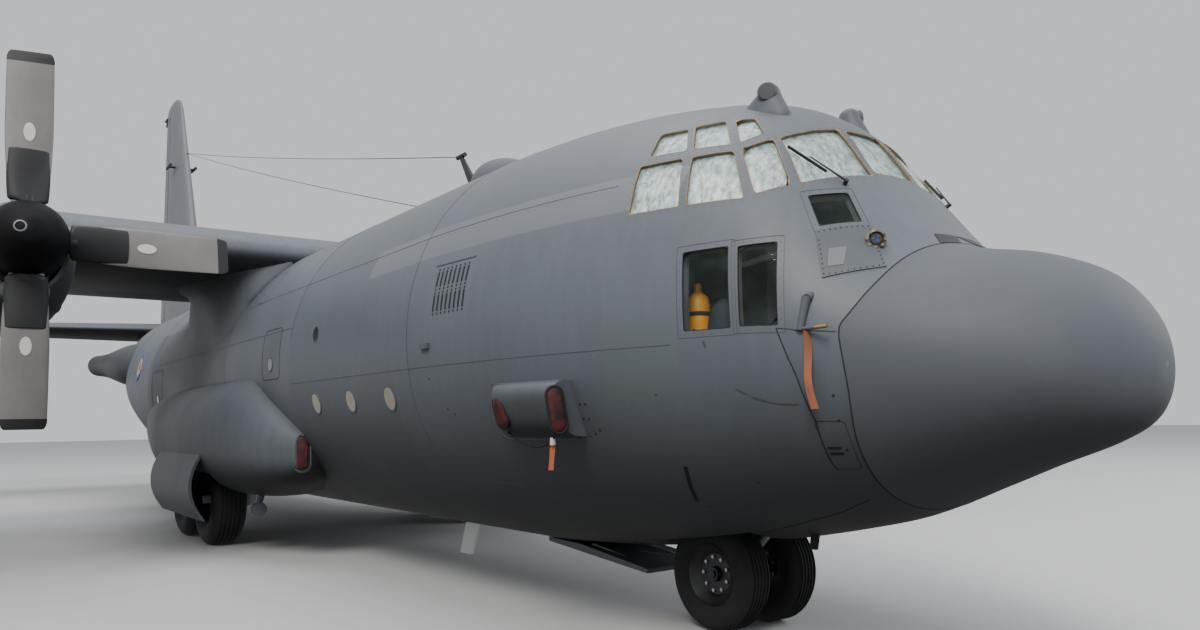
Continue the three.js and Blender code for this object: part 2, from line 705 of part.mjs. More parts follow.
function buildWing(name, side) {
  const place = acrossTo(side);
  const track = flapLine({ from: WING_JOINT - 20, to: FLAPS.outer.to });
  const cavity = foilCavity(WING, WING_JOINT - 10, 19300, place, WING_SKIN);
  const whole = foilBlock(WING, WING_JOINT + GAP, HALF_SPAN, place);
  const flapBay = spaceBehind(track, place, 0, SLANT_END_CLEAR);
  const wing = without(whole, [flapBay, bayFor(aileronLine, place, SLANT_END_CLEAR), cavity]);
  const ribs = [
    ...FLAPS.outer.ribs.map((span) => trackRib(whole, place, track, span)),
    ...AILERON_RIBS.map((span) => hingeRib(whole, place, aileronLine, span)),
  ];
  addPiece(`wing_${name}`, union([wing, ...ribs]), MATERIALS.grey);
  addPiece(`aileron_${name}`, controlSurface(WING, place, aileronLine), MATERIALS.grey);
  buildFlaps(name, place);
}

// Fuselage behind the nose

function buildCentreFuselage() {
  const from = FORWARD_JOINT + GAP;
  const tube = hullBlock(from, RAMP_STATION).subtract(hullBlock(from - 10, RAMP_STATION + 10, -WALL));
  const doorCut = (margin) => {
    const { fore, aft, bottom, top } = PARATROOP_DOOR;
    return box(-2300, 2300, fore - margin, aft + margin, bottom - margin, top + margin);
  };
  const hingeBlocks = RAMP_KNUCKLE.places.map((x) => box(
    x - 100, x + 100, RAMP_STATION - 60, RAMP_HINGE.station - RAMP_KNUCKLE.radius - HINGE_GAP,
    RAMP_HINGE.height - 25, RAMP_HINGE.height + 25,
  ));
  const shell = without(tube, [wingSpace(), doorCut(GAP)]);
  addPiece('centre_fuselage', shell.add(union(hingeBlocks)), MATERIALS.grey);

  const doors = tube.intersect(doorCut(0));
  for (const [name, side] of Object.entries(SIDES)) {
    const half = sideBox(side, 10, 2400, from, RAMP_STATION, 0, 5000);
    addPiece(`paratroop_door_${name}`, doors.intersect(half), MATERIALS.grey);
  }

  const slab = box(-2200, 2200, 5610, RAMP_STATION - 10, FLOOR_TOP - FLOOR_THICKNESS, FLOOR_TOP);
  addPiece('cargo_floor', slab.intersect(hullBlock(5605, RAMP_STATION, -WALL - GAP)), MATERIALS.floor);
}

function knuckles(hinge, { radius, halfLength, places }) {
  return union(places.map((x) => bar(
    at(x - halfLength, hinge.station, hinge.height), at(x + halfLength, hinge.station, hinge.height), radius,
  )));
}

// The drum that the front edge of the rear door sweeps about its hinge
const doorSweep = (radius) => bar(
  at(-2400, REAR_DOOR_HINGE.station, REAR_DOOR_HINGE.height),
  at(2400, REAR_DOOR_HINGE.station, REAR_DOOR_HINGE.height),
  radius, radius, 96,
);

function rearOpening(margin) {
  const half = OPENING_HALF + margin;
  const endHalf = REAR_DOOR_END_HALF + margin;
  const end = REAR_DOOR_HINGE.station + margin * 3;
  const portSide = [[half, 18000], [half, RAMP_END], [endHalf, end]];
  const starboardSide = portSide.map(([x, y]) => [-x, y]).reverse();
  return planPrism([...portSide, ...starboardSide], 0, 3620);
}

// A cone on each side of the tail, which narrows aft and outwards
function tailPods(grow = 0) {
  const end = TAIL_POD.at(-1)[0] + grow;
  return union(Object.values(SIDES).flatMap((side) => {
    const points = TAIL_POD.map(([station, x, z]) => at(side * x, Math.min(station, end), z));
    const radii = TAIL_POD.map((row) => row[3] + grow);
    return points.slice(1).map((point, i) => bar(points[i], point, radii[i], radii[i + 1], 20));
  }));
}

function buildRear() {
  const inside = hullBlock(RAMP_STATION, TAIL_JOINT + 10, -AFT_WALL).add(tailPods(-AFT_WALL));
  const shell = hullBlock(RAMP_STATION + GAP, TAIL_JOINT).add(tailPods()).subtract(inside);
  const doorPads = REAR_KNUCKLE.places.map((x) => box(
    x - 60, x + 60, REAR_DOOR_HINGE.station + REAR_KNUCKLE.radius + HINGE_GAP, REAR_DOOR_HINGE.station + 260,
    REAR_DOOR_HINGE.height - 60, REAR_DOOR_HINGE.height + 60,
  ));
  const rear = without(shell, [rearOpening(CLEAR), tailplaneSpace()]);
  addPiece('aft_fuselage', rear.add(union(doorPads)), MATERIALS.grey);

  const cone = hullBlock(TAIL_JOINT + GAP, LENGTH);
  const hollow = hullBlock(TAIL_JOINT - 10, 28300, -AFT_WALL);
  addPiece('tail_cone', without(cone, [hollow, tailplaneSpace()]), MATERIALS.grey);

  const start = RAMP_HINGE.station + 10;
  const wedge = sidePrism([
    [start, 300], [start, FLOOR_TOP], [RAMP_END + 100, RAMP_END_TOP], [RAMP_END + 100, 300],
  ], -OPENING_HALF, OPENING_HALF);
  const filled = hullBlock(start - 10, RAMP_END + 120).intersect(wedge);
  const ramp = filled.subtract(doorSweep(REAR_DOOR_RADIUS + CLEAR));
  addPiece('cargo_ramp', ramp.add(knuckles(RAMP_HINGE, RAMP_KNUCKLE)), MATERIALS.grey);

  const end = REAR_DOOR_HINGE.station - 30;
  const skin = hullBlock(21000, end).subtract(hullBlock(20990, end + 10, -AFT_WALL - 50));
  const lower = box(-2200, 2200, 20000, end, 0, 3300);
  const panel = skin.intersect(lower).intersect(rearOpening(0));
  const door = panel.intersect(doorSweep(REAR_DOOR_RADIUS));
  addPiece('cargo_door', door.add(knuckles(REAR_DOOR_HINGE, REAR_KNUCKLE)), MATERIALS.grey);
}

// Tail surfaces

const elevatorLine = foilLine(TAILPLANE, [ELEVATOR.inner, ELEVATOR.outer], () => ELEVATOR.hinge);
const rudderLine = foilLine(FIN, [RUDDER.bottom, RUDDER.top], () => RUDDER.hinge);

function buildTail() {
  const places = Object.values(SIDES).map(acrossTo);
  const end = TAILPLANE.rows.at(-1)[0];
  const halves = places.map((place) => foilBlock(TAILPLANE, 0, end, place));
  const bays = places.map((place) => bayFor(elevatorLine, place));
  const cavities = places.map((place) => foilCavity(TAILPLANE, 0, end - 500, place, TAIL_SKIN));
  const ribs = places.flatMap((place, i) => (
    ELEVATOR.ribs.map((span) => hingeRib(halves[i], place, elevatorLine, span))
  ));
  const shell = without(union(halves), [...bays, union(cavities)]);
  addPiece('tailplane', shell.add(union(ribs)), MATERIALS.grey);
  for (const [name, side] of Object.entries(SIDES)) {
    addPiece(`elevator_${name}`, controlSurface(TAILPLANE, acrossTo(side), elevatorLine), MATERIALS.grey);
  }
}

function buildFin() {
  addPiece('rudder', controlSurface(FIN, upright, rudderLine), MATERIALS.grey);

  const { from, to, top, halfWidth } = DORSAL;
  const { foot, edge } = DORSAL;
  const dorsal = sidePrism([[from, foot], ...edge, [to, top], [to, foot]], -halfWidth, halfWidth);
  const body = [
    hullBlock(RAMP_STATION, LENGTH, GAP),
    tailplaneSpace(),
    box(-900, 900, 19000, LENGTH, 3000, 4600),
  ];
  const cavity = foilCavity(FIN, 5200, 11000, upright, TAIL_SKIN);
  const whole = foilBlock(FIN, FIN.rows[0][0], HEIGHT, upright);
  const ribs = RUDDER.ribs.map((span) => hingeRib(whole, upright, rudderLine, span));
  const shell = whole.subtract(cavity).add(dorsal);
  const fin = without(shell, [bayFor(rudderLine, upright), ...body]);
  addPiece('fin', fin.add(union(ribs)), MATERIALS.grey);
}

// Engines and propellers

function nacelleBlock(engine, from, to, grow) {
  const stations = NACELLE.map((row) => row[0]).filter((station) => station > from + 1 && station < to - 1);
  const points = 16;
  return loft([from, ...stations, to].map((station) => {
    const [, half, top, bottom] = rowAt(NACELLE, station);
    return Array.from({ length: points }, (_, i) => {
      const angle = (2 * Math.PI * (i + 0.5)) / points;
      const up = Math.sin(angle);
      const reach = up >= 0 ? top + grow : -bottom + grow;
      return at(engine.x + (half + grow) * Math.cos(angle), station, engine.z + reach * up);
    });
  }));
}

function buildEngine(engine) {
  const { number, x, z } = engine;
  const front = NACELLE[0][0];
  const rear = NACELLE.at(-1)[0];
  const wing = wingSpace();
  const hollow = nacelleBlock(engine, front + 80, rear + 10, -NACELLE_WALL);
  const intake = box(x - 210, x + 210, front - 20, front + 300, z - 500, z - 400);
  const shaftHole = bar(at(x, front - 20, z), at(x, front + 200, z), SHAFT_RADIUS + 15);
  const cowl = without(nacelleBlock(engine, front, rear, 0), [hollow, intake, shaftHole, wing]);
  addPiece(`nacelle_${number}`, cowl, MATERIALS.grey);

  const blockFront = front + 260;
  const core = bar(at(x, blockFront, z - 120), at(x, 12700, z - 120), 340, 300);
  const beam = box(x - 700, x + 700, 10900, 11050, z - 240, z - 40);
  const space = nacelleBlock(engine, front + 90, rear, -NACELLE_WALL - GAP);
  const block = without(core.add(beam).intersect(space), [wing]);
  addPiece(`engine_${number}`, block, MATERIALS.engine);

  const shaft = bar(at(x, front - 60, z), at(x, blockFront - GAP, z), SHAFT_RADIUS, SHAFT_RADIUS, 20);
  addPiece(`propeller_${number}`, union([spinner(x, z), shaft, ...blades(x, z)]), MATERIALS.blade);
}

function spinner(x, z) {
  const front = [[0, -560], [150, -525], [285, -420], [370, -250]];
  const profile = [...front, [SPINNER_RADIUS, 0], [SPINNER_RADIUS, 235], [0, 235]];
  const geometry = new THREE.LatheGeometry(profile.map(([r, y]) => new THREE.Vector2(r, y)), 14);
  geometry.translate(x, PROP_PLANE, z);
  return solidFrom(geometry);
}

function blades(x, z) {
  return Array.from({ length: BLADE_COUNT }, (_, blade) => {
    const turn = (2 * Math.PI * blade) / BLADE_COUNT;
    const out = at(Math.sin(turn), 0, Math.cos(turn));
    const across = at(Math.cos(turn), 0, -Math.sin(turn));
    const rings = BLADE.map((row) => bladeRing(out, across, ...row));
    return loft(rings.map((ring) => ring.map((point) => point.add(at(x, PROP_PLANE, z)))));
  });
}

function bladeRing(out, across, radius, chord, thickness, pitch) {
  const angle = THREE.MathUtils.degToRad(pitch);
  const lens = [[-0.5, 0], [-0.2, 0.5], [0.25, 0.42], [0.5, 0], [0.25, -0.42], [-0.2, -0.5]];
  return lens.map(([u, v]) => {
    const point = out.clone().multiplyScalar(radius);
    point.addScaledVector(across, u * chord * Math.cos(angle) - v * thickness * Math.sin(angle));
    point.addScaledVector(Y_AXIS, u * chord * Math.sin(angle) + v * thickness * Math.cos(angle));
    return point;
  });
}

// Wheels and gear

function tyre(x, station, { radius, width }, bore) {
  const half = width / 2;
  const profile = [
    [bore, -half * 0.62], [radius * 0.53, -half * 0.7], [radius * 0.82, -half], [radius, -half * 0.5],
    [radius, half * 0.5], [radius * 0.82, half], [radius * 0.53, half * 0.7], [bore, half * 0.62],
  ];
  const start = bore === 0 ? profile : [...profile, profile[0]];
  const geometry = new THREE.LatheGeometry(start.map(([r, y]) => new THREE.Vector2(r, y)), 24);
  geometry.rotateZ(-Math.PI / 2);
  geometry.rotateX(Math.PI / 2);
  geometry.translate(x, station, radius);
  return solidFrom(geometry);
}

function podBlock(side, grow) {
  const points = 16;
  return loft(POD.map(([station, middle, half, height, halfHeight]) => (
    Array.from({ length: points }, (_, i) => {
      const angle = (2 * Math.PI * (i + 0.5)) / points;
      const [across, up] = [Math.cos(angle), Math.sin(angle)];
      const x = middle + Math.sign(across) * (half + grow) * Math.abs(across) ** 0.8;
      return at(side * x, station, height + Math.sign(up) * (halfHeight + grow) * Math.abs(up) ** 0.8);
    })
  )));
}

function sideBox(side, x0, x1, y0, y1, z0, z1) {
  return side > 0 ? box(x0, x1, y0, y1, z0, z1) : box(-x1, -x0, y0, y1, z0, z1);
}

function buildMainGear(name, side) {
  const hull = hullBlock(9000, 18100, GAP);
  const well = sideBox(side, WELL.inner, WELL.outer, WELL.from, WELL.to, 300, WELL.top);
  addPiece(`gear_pod_${name}`, without(podBlock(side, 0), [hull, well]), MATERIALS.grey);

  const arc = [[2680, 1400], [2800, 1180], [2840, 930], [2790, 680], [2640, 450]];
  const inner = arc.map(([x, z]) => [x - 42, z]).reverse();
  const outline = [...arc, ...inner];
  const ring = (station) => outline.map(([x, z]) => at(side * x, station, z));
  const leaf = loftPlate([ring(WELL.from + 20), ring(14250)]);
  addPiece(`gear_door_${name}`, leaf.subtract(podBlock(side, GAP)), MATERIALS.grey);

  const strutX = side * MAIN_STRUT_X;
  const height = MAIN_TYRE.radius;
  const parts = Object.values(MAIN_WHEELS).flatMap((station) => [
    bar(at(strutX, station, height - 120), at(strutX, station, 1700), 105),
    bar(at(strutX, station, height), at(side * (MAIN_TYRE.x + 240), station, height), 60, 60, 20),
  ]);
  parts.push(sideBox(side, MAIN_STRUT_X - 45, MAIN_STRUT_X + 45, MAIN_WHEELS.front, MAIN_WHEELS.rear, 950, 1060));
  addPiece(`main_gear_${name}`, union(parts).subtract(hull), MATERIALS.gear);

  for (const [place, station] of Object.entries(MAIN_WHEELS)) {
    addPiece(`wheel_${place}_${name}`, tyre(side * MAIN_TYRE.x, station, MAIN_TYRE, 62), MATERIALS.tyre);
  }
}

// A bent plate is lofted from quads, so that its end caps follow the bend
function loftPlate(rings) {
  const count = rings[0].length;
  const pieces = [];
  for (let i = 0; i + 1 < count / 2; i += 1) {
    const pick = (ring) => [ring[i], ring[i + 1], ring[count - 2 - i], ring[count - 1 - i]];
    pieces.push(loft(rings.map(pick)));
  }
  return union(pieces);
}

function buildNoseGear() {
  const station = NOSE_WHEEL_STATION;
  const axleHeight = NOSE_TYRE.radius;
  const collar = 1060;
  const leg = union([
    bar(at(0, station, collar), at(0, station, NOSE_WELL.top - GAP), 95),
    bar(at(0, station, 1250), at(0, station + 560, NOSE_WELL.top - 60), 45),
    box(-130, 130, station + 480, station + 640, NOSE_WELL.top - 160, NOSE_WELL.top - GAP),
  ]);
  addPiece('nose_gear_leg', leg, MATERIALS.gear);

  const sleeve = bar(at(-110, station, axleHeight), at(110, station, axleHeight), 85);
  const piston = bar(at(0, station, axleHeight), at(0, station, collar - 60), 62);
  const turntable = bar(at(0, station, collar - 90), at(0, station, collar - GAP), 120);
  const bore = bar(at(-200, station, axleHeight), at(200, station, axleHeight), 45.6, 45.6, 32);
  addPiece('nose_gear_fork', union([sleeve, piston, turntable]).subtract(bore), MATERIALS.gear);

  const axle = bar(at(-NOSE_TYRE.x, station, axleHeight), at(NOSE_TYRE.x, station, axleHeight), 45, 45, 32);
  const tyres = Object.values(SIDES).map((side) => tyre(side * NOSE_TYRE.x, station, NOSE_TYRE, 0));
  addPiece('nose_wheels', union([axle, ...tyres]), MATERIALS.tyre);

  const leaf = [[4300, 380], [5950, 520], [5950, 700], [5900, 700], [5880, 560], [4300, 420]];
  const doors = sidePrism(leaf, -400, 400);
  addPiece('nose_gear_door', doors.subtract(hullBlock(4000, 6200, GAP)), MATERIALS.grey);
}

// The scoop follows the skin at a depth of its own for each station
function scoopBlock() {
  const { bottom, top, chamfer, rows } = SCOOP;
  return loft(rows.map(([station, depth]) => {
    const out = (height, reach) => skinPoint(station, height, SIDES.starboard).add(at(-reach, 0, 0));
    return [
      out(bottom, -SCOOP.root), out(bottom, depth - chamfer), out(bottom + chamfer, depth),
      out(top - chamfer, depth), out(top, depth - chamfer), out(top, -SCOOP.root),
    ];
  }));
}

function buildFittings() {
  const hull = hullBlock(2000, 12000, GAP);
  addPiece('air_scoop', scoopBlock().subtract(hull), MATERIALS.grey);

  const domeShape = new THREE.SphereGeometry(ROOF_DOME.radius, 16, 10);
  domeShape.translate(0, ROOF_DOME.station, ROOF_DOME.height);
  const mast = loft([[8000, 4600, 60], [8640, 5480, 22]].map(([station, z, half]) => [
    at(-half, station, z), at(0, station - 3 * half, z), at(half, station, z), at(0, station + 3 * half, z),
  ]));
  addPiece('roof_dome', solidFrom(domeShape).subtract(hull), MATERIALS.nose);
  addPiece('roof_mast', mast.subtract(hull), MATERIALS.grey);

  const blade = sidePrism([[7700, 640], [8200, 640], [8040, 150], [7800, 150]], -318, -282);
  addPiece('belly_antenna', blade.subtract(hull), MATERIALS.antenna);
}

buildNose();
buildGlass();
buildFlightDeck();
buildCentreFuselage();
buildRear();
buildCentreWing();
Object.entries(SIDES).forEach(([name, side]) => buildWing(name, side));
ENGINES.forEach(buildEngine);
buildTail();
buildFin();
Object.entries(SIDES).forEach(([name, side]) => buildMainGear(name, side));
buildNoseGear();
buildFittings();

plane.scale.setScalar(MODEL_SCALE);
plane.position.y = (-LENGTH / 2) * MODEL_SCALE;

export default plane;
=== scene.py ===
# Looks of the military transport plane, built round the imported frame.
# Shapes are worked out in full-size metres, as (x to port, station aft of the nose tip, height), and
# changed to the half-size model's frame by model().

import math

import bmesh
import bpy
import numpy as np
from mathutils import Matrix, Vector


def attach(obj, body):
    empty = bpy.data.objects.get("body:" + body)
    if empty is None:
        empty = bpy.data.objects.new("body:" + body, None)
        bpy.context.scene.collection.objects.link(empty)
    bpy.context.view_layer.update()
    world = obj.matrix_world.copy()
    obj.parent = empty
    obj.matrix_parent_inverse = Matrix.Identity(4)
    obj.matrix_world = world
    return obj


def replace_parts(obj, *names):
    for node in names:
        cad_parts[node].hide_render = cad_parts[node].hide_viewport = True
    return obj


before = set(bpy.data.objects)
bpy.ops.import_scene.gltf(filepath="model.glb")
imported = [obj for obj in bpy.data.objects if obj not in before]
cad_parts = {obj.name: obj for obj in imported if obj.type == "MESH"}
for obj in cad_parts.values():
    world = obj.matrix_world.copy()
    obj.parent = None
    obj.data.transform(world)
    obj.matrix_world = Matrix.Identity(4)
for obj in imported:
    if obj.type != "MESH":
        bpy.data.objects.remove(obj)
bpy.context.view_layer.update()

# Halfway between the nose tip and the tail, where the model's frame has its zero
MIDDLE = np.array([0.0, 14.895, 0.0])
PORT, STARBOARD = 1, -1
SIDES = (PORT, STARBOARD)
AIR = "airframe"


def model(points):
    """Full-size places in the half-size model's frame."""
    return (np.asarray(points, float) - MIDDLE) / 2


def full_size(points):
    """Places of the model's frame at full size."""
    return points * 2 + MIDDLE


def unit(vectors):
    v = np.asarray(vectors, float)
    return v / np.linalg.norm(v, axis=-1, keepdims=True)


def angles_round(count):
    """Even steps of angle, once round a circle."""
    return np.arange(count) * 2 * math.pi / count


def side_name(side):
    return "port" if side == PORT else "starboard"


# Fuselage sections: station, top, bottom, height of the widest line, half width, lower exponent
HULL = np.array([
    [0.0, 2.11, 2.07, 2.09, 0.02, 2.0],
    [0.03, 2.3, 1.88, 2.09, 0.19, 2.0],
    [0.12, 2.48, 1.74, 2.1, 0.39, 2.0],
    [0.32, 2.69, 1.62, 2.11, 0.64, 2.0],
    [0.7, 2.86, 1.47, 2.15, 0.91, 2.1],
    [1.15, 2.97, 1.28, 2.22, 1.13, 2.2],
    [1.4, 3.15, 1.17, 2.27, 1.24, 2.2],
    [1.75, 3.57, 1.04, 2.34, 1.39, 2.2],
    [2.12, 4.06, 0.95, 2.4, 1.52, 2.2],
    [2.6, 4.36, 0.85, 2.46, 1.68, 2.2],
    [3.2, 4.52, 0.75, 2.52, 1.84, 2.15],
    [3.9, 4.63, 0.66, 2.57, 1.97, 2.1],
    [4.8, 4.71, 0.58, 2.6, 2.07, 2.05],
    [5.79, 4.74, 0.54, 2.62, 2.12, 2.05],
    [18.2, 4.74, 0.54, 2.62, 2.12, 2.05],
    [19.5, 4.74, 0.8, 2.64, 2.11, 2.2],
    [21.5, 4.74, 1.45, 2.8, 2.02, 2.5],
    [23.5, 4.735, 2.25, 3.12, 1.79, 2.7],
    [25.1, 4.725, 2.95, 3.48, 1.45, 2.7],
    [26.8, 4.71, 3.65, 4.0, 0.95, 2.5],
    [28.3, 4.69, 4.15, 4.4, 0.52, 2.2],
    [29.3, 4.66, 4.4, 4.53, 0.24, 2.0],
    [29.79, 4.58, 4.5, 4.54, 0.04, 2.0],
])


def smooth_rows(rows, where, key=np.asarray):
    """Rows read at any places along their first column, by a monotone cubic curve over key(column)."""
    x = key(rows[:, 0])
    y = rows[:, 1:]
    h = np.diff(x)[:, None]
    slope = np.diff(y, axis=0) / h
    m = np.zeros_like(y)
    before, after = slope[:-1], slope[1:]
    w1, w2 = 2 * h[1:] + h[:-1], h[1:] + 2 * h[:-1]
    same = before * after > 0
    safe = np.where(same, before * after, 1.0)
    mean = (w1 + w2) * safe / (w1 * np.where(same, after, 1) + w2 * np.where(same, before, 1))
    m[1:-1] = np.where(same, mean, 0)
    m[0], m[-1] = slope[0], slope[-1]
    q = key(np.clip(np.asarray(where, float), rows[0, 0], rows[-1, 0]))
    i = np.clip(np.searchsorted(x, q, side="right") - 1, 0, len(x) - 2)
    t = ((q - x[i]) / (x[i + 1] - x[i]))[..., None]
    hi = (x[i + 1] - x[i])[..., None]
    return (
        (2 * t**3 - 3 * t**2 + 1) * y[i]
        + (t**3 - 2 * t**2 + t) * hi * m[i]
        + (-2 * t**3 + 3 * t**2) * y[i + 1]
        + (t**3 - t**2) * hi * m[i + 1]
    )


def hull_rows(stations):
    return smooth_rows(HULL, stations, np.sqrt)


def hull_points(stations, angles, grow=0.0):
    """A grid of skin points, one row for each station."""
    top, bottom, wide, half, power = (c[:, None] for c in hull_rows(stations).T)
    across, up = np.cos(angles)[None], np.sin(angles)[None]
    exponent = np.where(up >= 0, 1.0, 2 / power)
    reach = np.where(up >= 0, top - wide, wide - bottom) + grow
    x = np.sign(across) * (half + grow) * np.abs(across) ** exponent
    z = wide + np.sign(up) * reach * np.abs(up) ** exponent
    y = np.broadcast_to(np.asarray(stations, float)[:, None], x.shape)
    return np.stack([x, y, z], -1)


def hull_level(points, grow=0.0):
    """Below 0 inside the skin, above 0 outside."""
    p = np.asarray(points, float)
    top, bottom, wide, half, power = np.moveaxis(hull_rows(p[..., 1]), -1, 0)
    rise = p[..., 2] - wide
    exponent = np.where(rise >= 0, 2.0, power)
    reach = np.where(rise >= 0, top - wide, wide - bottom) + grow
    return (np.abs(p[..., 0]) / (half + grow)) ** exponent + (np.abs(rise) / reach) ** exponent - 1


def onto_skin(points, direction, reach=0.5):
    """Points moved along a direction until they lie on the skin."""
    p = np.asarray(points, float)
    d = np.asarray(direction, float)
    low, high = np.full(p.shape[:-1], -reach), np.full(p.shape[:-1], reach)
    for _ in range(26):
        middle = (low + high) / 2
        inside = hull_level(p + middle[..., None] * d) < 0
        low, high = np.where(inside, middle, low), np.where(inside, high, middle)
    return p + high[..., None] * d


def skin_normal(points):
    p = np.asarray(points, float)
    steps = np.eye(3) * 2e-3
    return unit(np.stack([hull_level(p + s) - hull_level(p - s) for s in steps], -1))


def onto_side(points, side):
    """Points of the middle plane, moved sideways onto the skin."""
    return onto_skin(np.asarray(points, float) + [side * 1.2, 0, 0], [side, 0, 0], 1.3)


def side_point(station, height, side):
    return onto_side([0, station, height], side)


def side_corners(places, side):
    """Points of the skin at places of (station, height) on one side."""
    return np.array([side_point(s, z, side) for s, z in places])


def front_point(x, height):
    return onto_skin([x, 2.2, height], [0, -1, 0], 1.2)


def roof_point(x, station):
    return onto_skin([x, station, 3.6], [0, 0, 1], 1.4)


# Materials

MATERIALS = {}


def principled(name, color, roughness=0.6, metallic=0.0, alpha=1.0, coat=0.0):
    """A new plain material, with its node tree and its shader."""
    m = bpy.data.materials.new(name)
    m.use_nodes = True
    b = m.node_tree.nodes["Principled BSDF"]
    b.inputs["Base Color"].default_value = (*color, 1)
    b.inputs["Roughness"].default_value = roughness
    b.inputs["Metallic"].default_value = metallic
    b.inputs["Alpha"].default_value = alpha
    b.inputs["Coat Weight"].default_value = coat
    MATERIALS[name] = m
    return m.node_tree, b


def node(tree, kind, **values):
    """A new node with its inputs or settings given by name."""
    n = tree.nodes.new(kind)
    for key, value in values.items():
        if key in n.inputs:
            n.inputs[key].default_value = value
        else:
            setattr(n, key, value)
    return n


def math_node(tree, operation, a, b=None):
    """The result of a sum over sockets or numbers."""
    n = tree.nodes.new("ShaderNodeMath")
    n.operation = operation
    for i, v in enumerate([a, b]):
        if v is None:
            continue
        if isinstance(v, (int, float)):
            n.inputs[i].default_value = v
        else:
            tree.links.new(v, n.inputs[i])
    return n.outputs[0]


def noise(tree, vector, scale, detail=4, roughness=0.55):
    n = node(tree, "ShaderNodeTexNoise", Scale=scale, Detail=detail, Roughness=roughness)
    tree.links.new(vector, n.inputs["Vector"])
    return n.outputs["Fac"]


def scaled(tree, vector, factors):
    n = tree.nodes.new("ShaderNodeMapping")
    n.inputs["Scale"].default_value = factors
    tree.links.new(vector, n.inputs["Vector"])
    return n.outputs[0]


def ramp(tree, value, low, high, to_low=0.0, to_high=1.0):
    """A value changed smoothly from one range to another."""
    n = node(tree, "ShaderNodeMapRange", interpolation_type="SMOOTHSTEP")
    tree.links.new(value, n.inputs["Value"])
    for name, v in zip(("From Min", "From Max", "To Min", "To Max"), (low, high, to_low, to_high)):
        n.inputs[name].default_value = v
    return n.outputs["Result"]


def mix(tree, factor, a, b, kind="MIX"):
    """Two colours, each a socket or a tone, blended by a factor."""
    n = node(tree, "ShaderNodeMix", data_type="RGBA", blend_type=kind)
    for i, v in ((0, factor), (6, a), (7, b)):
        if isinstance(v, (int, float)):
            n.inputs[i].default_value = v
        elif isinstance(v, tuple):
            n.inputs[i].default_value = (*v, 1)
        else:
            tree.links.new(v, n.inputs[i])
    return n.outputs[2]


def coordinates(tree):
    """The place in the model's frame, and its three parts."""
    place = tree.nodes.new("ShaderNodeTexCoord").outputs["Object"]
    parts = tree.nodes.new("ShaderNodeSeparateXYZ")
    tree.links.new(place, parts.inputs[0])
    return place, parts.outputs


def worn(name, color, roughness=0.6, metallic=0.0, change=0.07, streaks=0.05, scale=0.9, bump=0.0):
    """A surface with cloudy tone changes and streaks that run down it."""
    tree, b = principled(name, color, roughness, metallic)
    place, _ = coordinates(tree)
    clouds = noise(tree, place, scale, 5)
    fine = noise(tree, scaled(tree, place, (9, 9, 1.1)), 2.2, 3)
    tone = math_node(tree, "MULTIPLY_ADD", ramp(tree, clouds, 0.3, 0.7, -change, change), 1.0)
    tone.node.inputs[2].default_value = 1.0
    streak = ramp(tree, fine, 0.35, 0.7, -streaks, streaks)
    total = math_node(tree, "ADD", tone, streak)
    out = mix(tree, 1.0, color, total, "MULTIPLY")
    tree.links.new(out, b.inputs["Base Color"])
    rough = ramp(tree, clouds, 0.3, 0.7, roughness - 0.05, roughness + 0.06)
    tree.links.new(rough, b.inputs["Roughness"])
    if bump:
        n = node(tree, "ShaderNodeBump", Strength=0.25, Distance=bump)
        tree.links.new(noise(tree, place, 60, 4), n.inputs["Height"])
        tree.links.new(n.outputs[0], b.inputs["Normal"])


def painted(name):
    """A worn material's tree, the input of its colour and the socket that feeds it."""
    tree = MATERIALS[name].node_tree
    target = tree.nodes["Principled BSDF"].inputs["Base Color"]
    return tree, target, target.links[0].from_socket


def shade_and_soot_below(name, tone, amount):
    """A worn surface gets a darker underside: painted shade where its faces point down, with some soot."""
    tree, target, color = painted(name)
    facing = tree.nodes.new("ShaderNodeSeparateXYZ")
    tree.links.new(tree.nodes.new("ShaderNodeTexCoord").outputs["Normal"], facing.inputs[0])
    below = ramp(tree, facing.outputs[2], -0.8, 0.2, amount, 0.0)
    tree.links.new(mix(tree, below, color, tone), target)


def patch_mask(tree, parts, stations, heights, side, inner=(0.1, 0.12), soft=0.004):
    """1 between two full-size stations and heights on one side; inner is where it starts in the model."""
    low, high = model([0, stations[0], heights[0]]), model([0, stations[1], heights[1]])
    outwards = math_node(tree, "MULTIPLY", parts[0], float(side))
    product = ramp(tree, outwards, *inner)
    for i in (1, 2):
        rise = ramp(tree, parts[i], low[i] - soft, low[i] + soft)
        fall = ramp(tree, parts[i], high[i] - soft, high[i] + soft, 1.0, 0.0)
        product = math_node(tree, "MULTIPLY", product, math_node(tree, "MULTIPLY", rise, fall))
    return product


SKIN = (0.1, 0.115, 0.133)
# Repainted areas, and last a painted shadow under the wing: first and last station, lowest and highest line,
# tone
PATCHES_AND_WING_SHADOW = [
    (2.62, 7.06, 3.38, 3.69, (0.152, 0.166, 0.186)),
    (2.45, 3.08, 1.96, 2.52, (0.1, 0.12, 0.126)),
    (9.35, 12.1, 1.2, 4.2, (0.114, 0.129, 0.147)),
    (6.2, 7.2, 1.3, 2.3, (0.09, 0.102, 0.118)),
    # Painted shadow under the wing
    (12.4, 18.6, 0.8, 3.7, (0.055, 0.061, 0.068)),
]


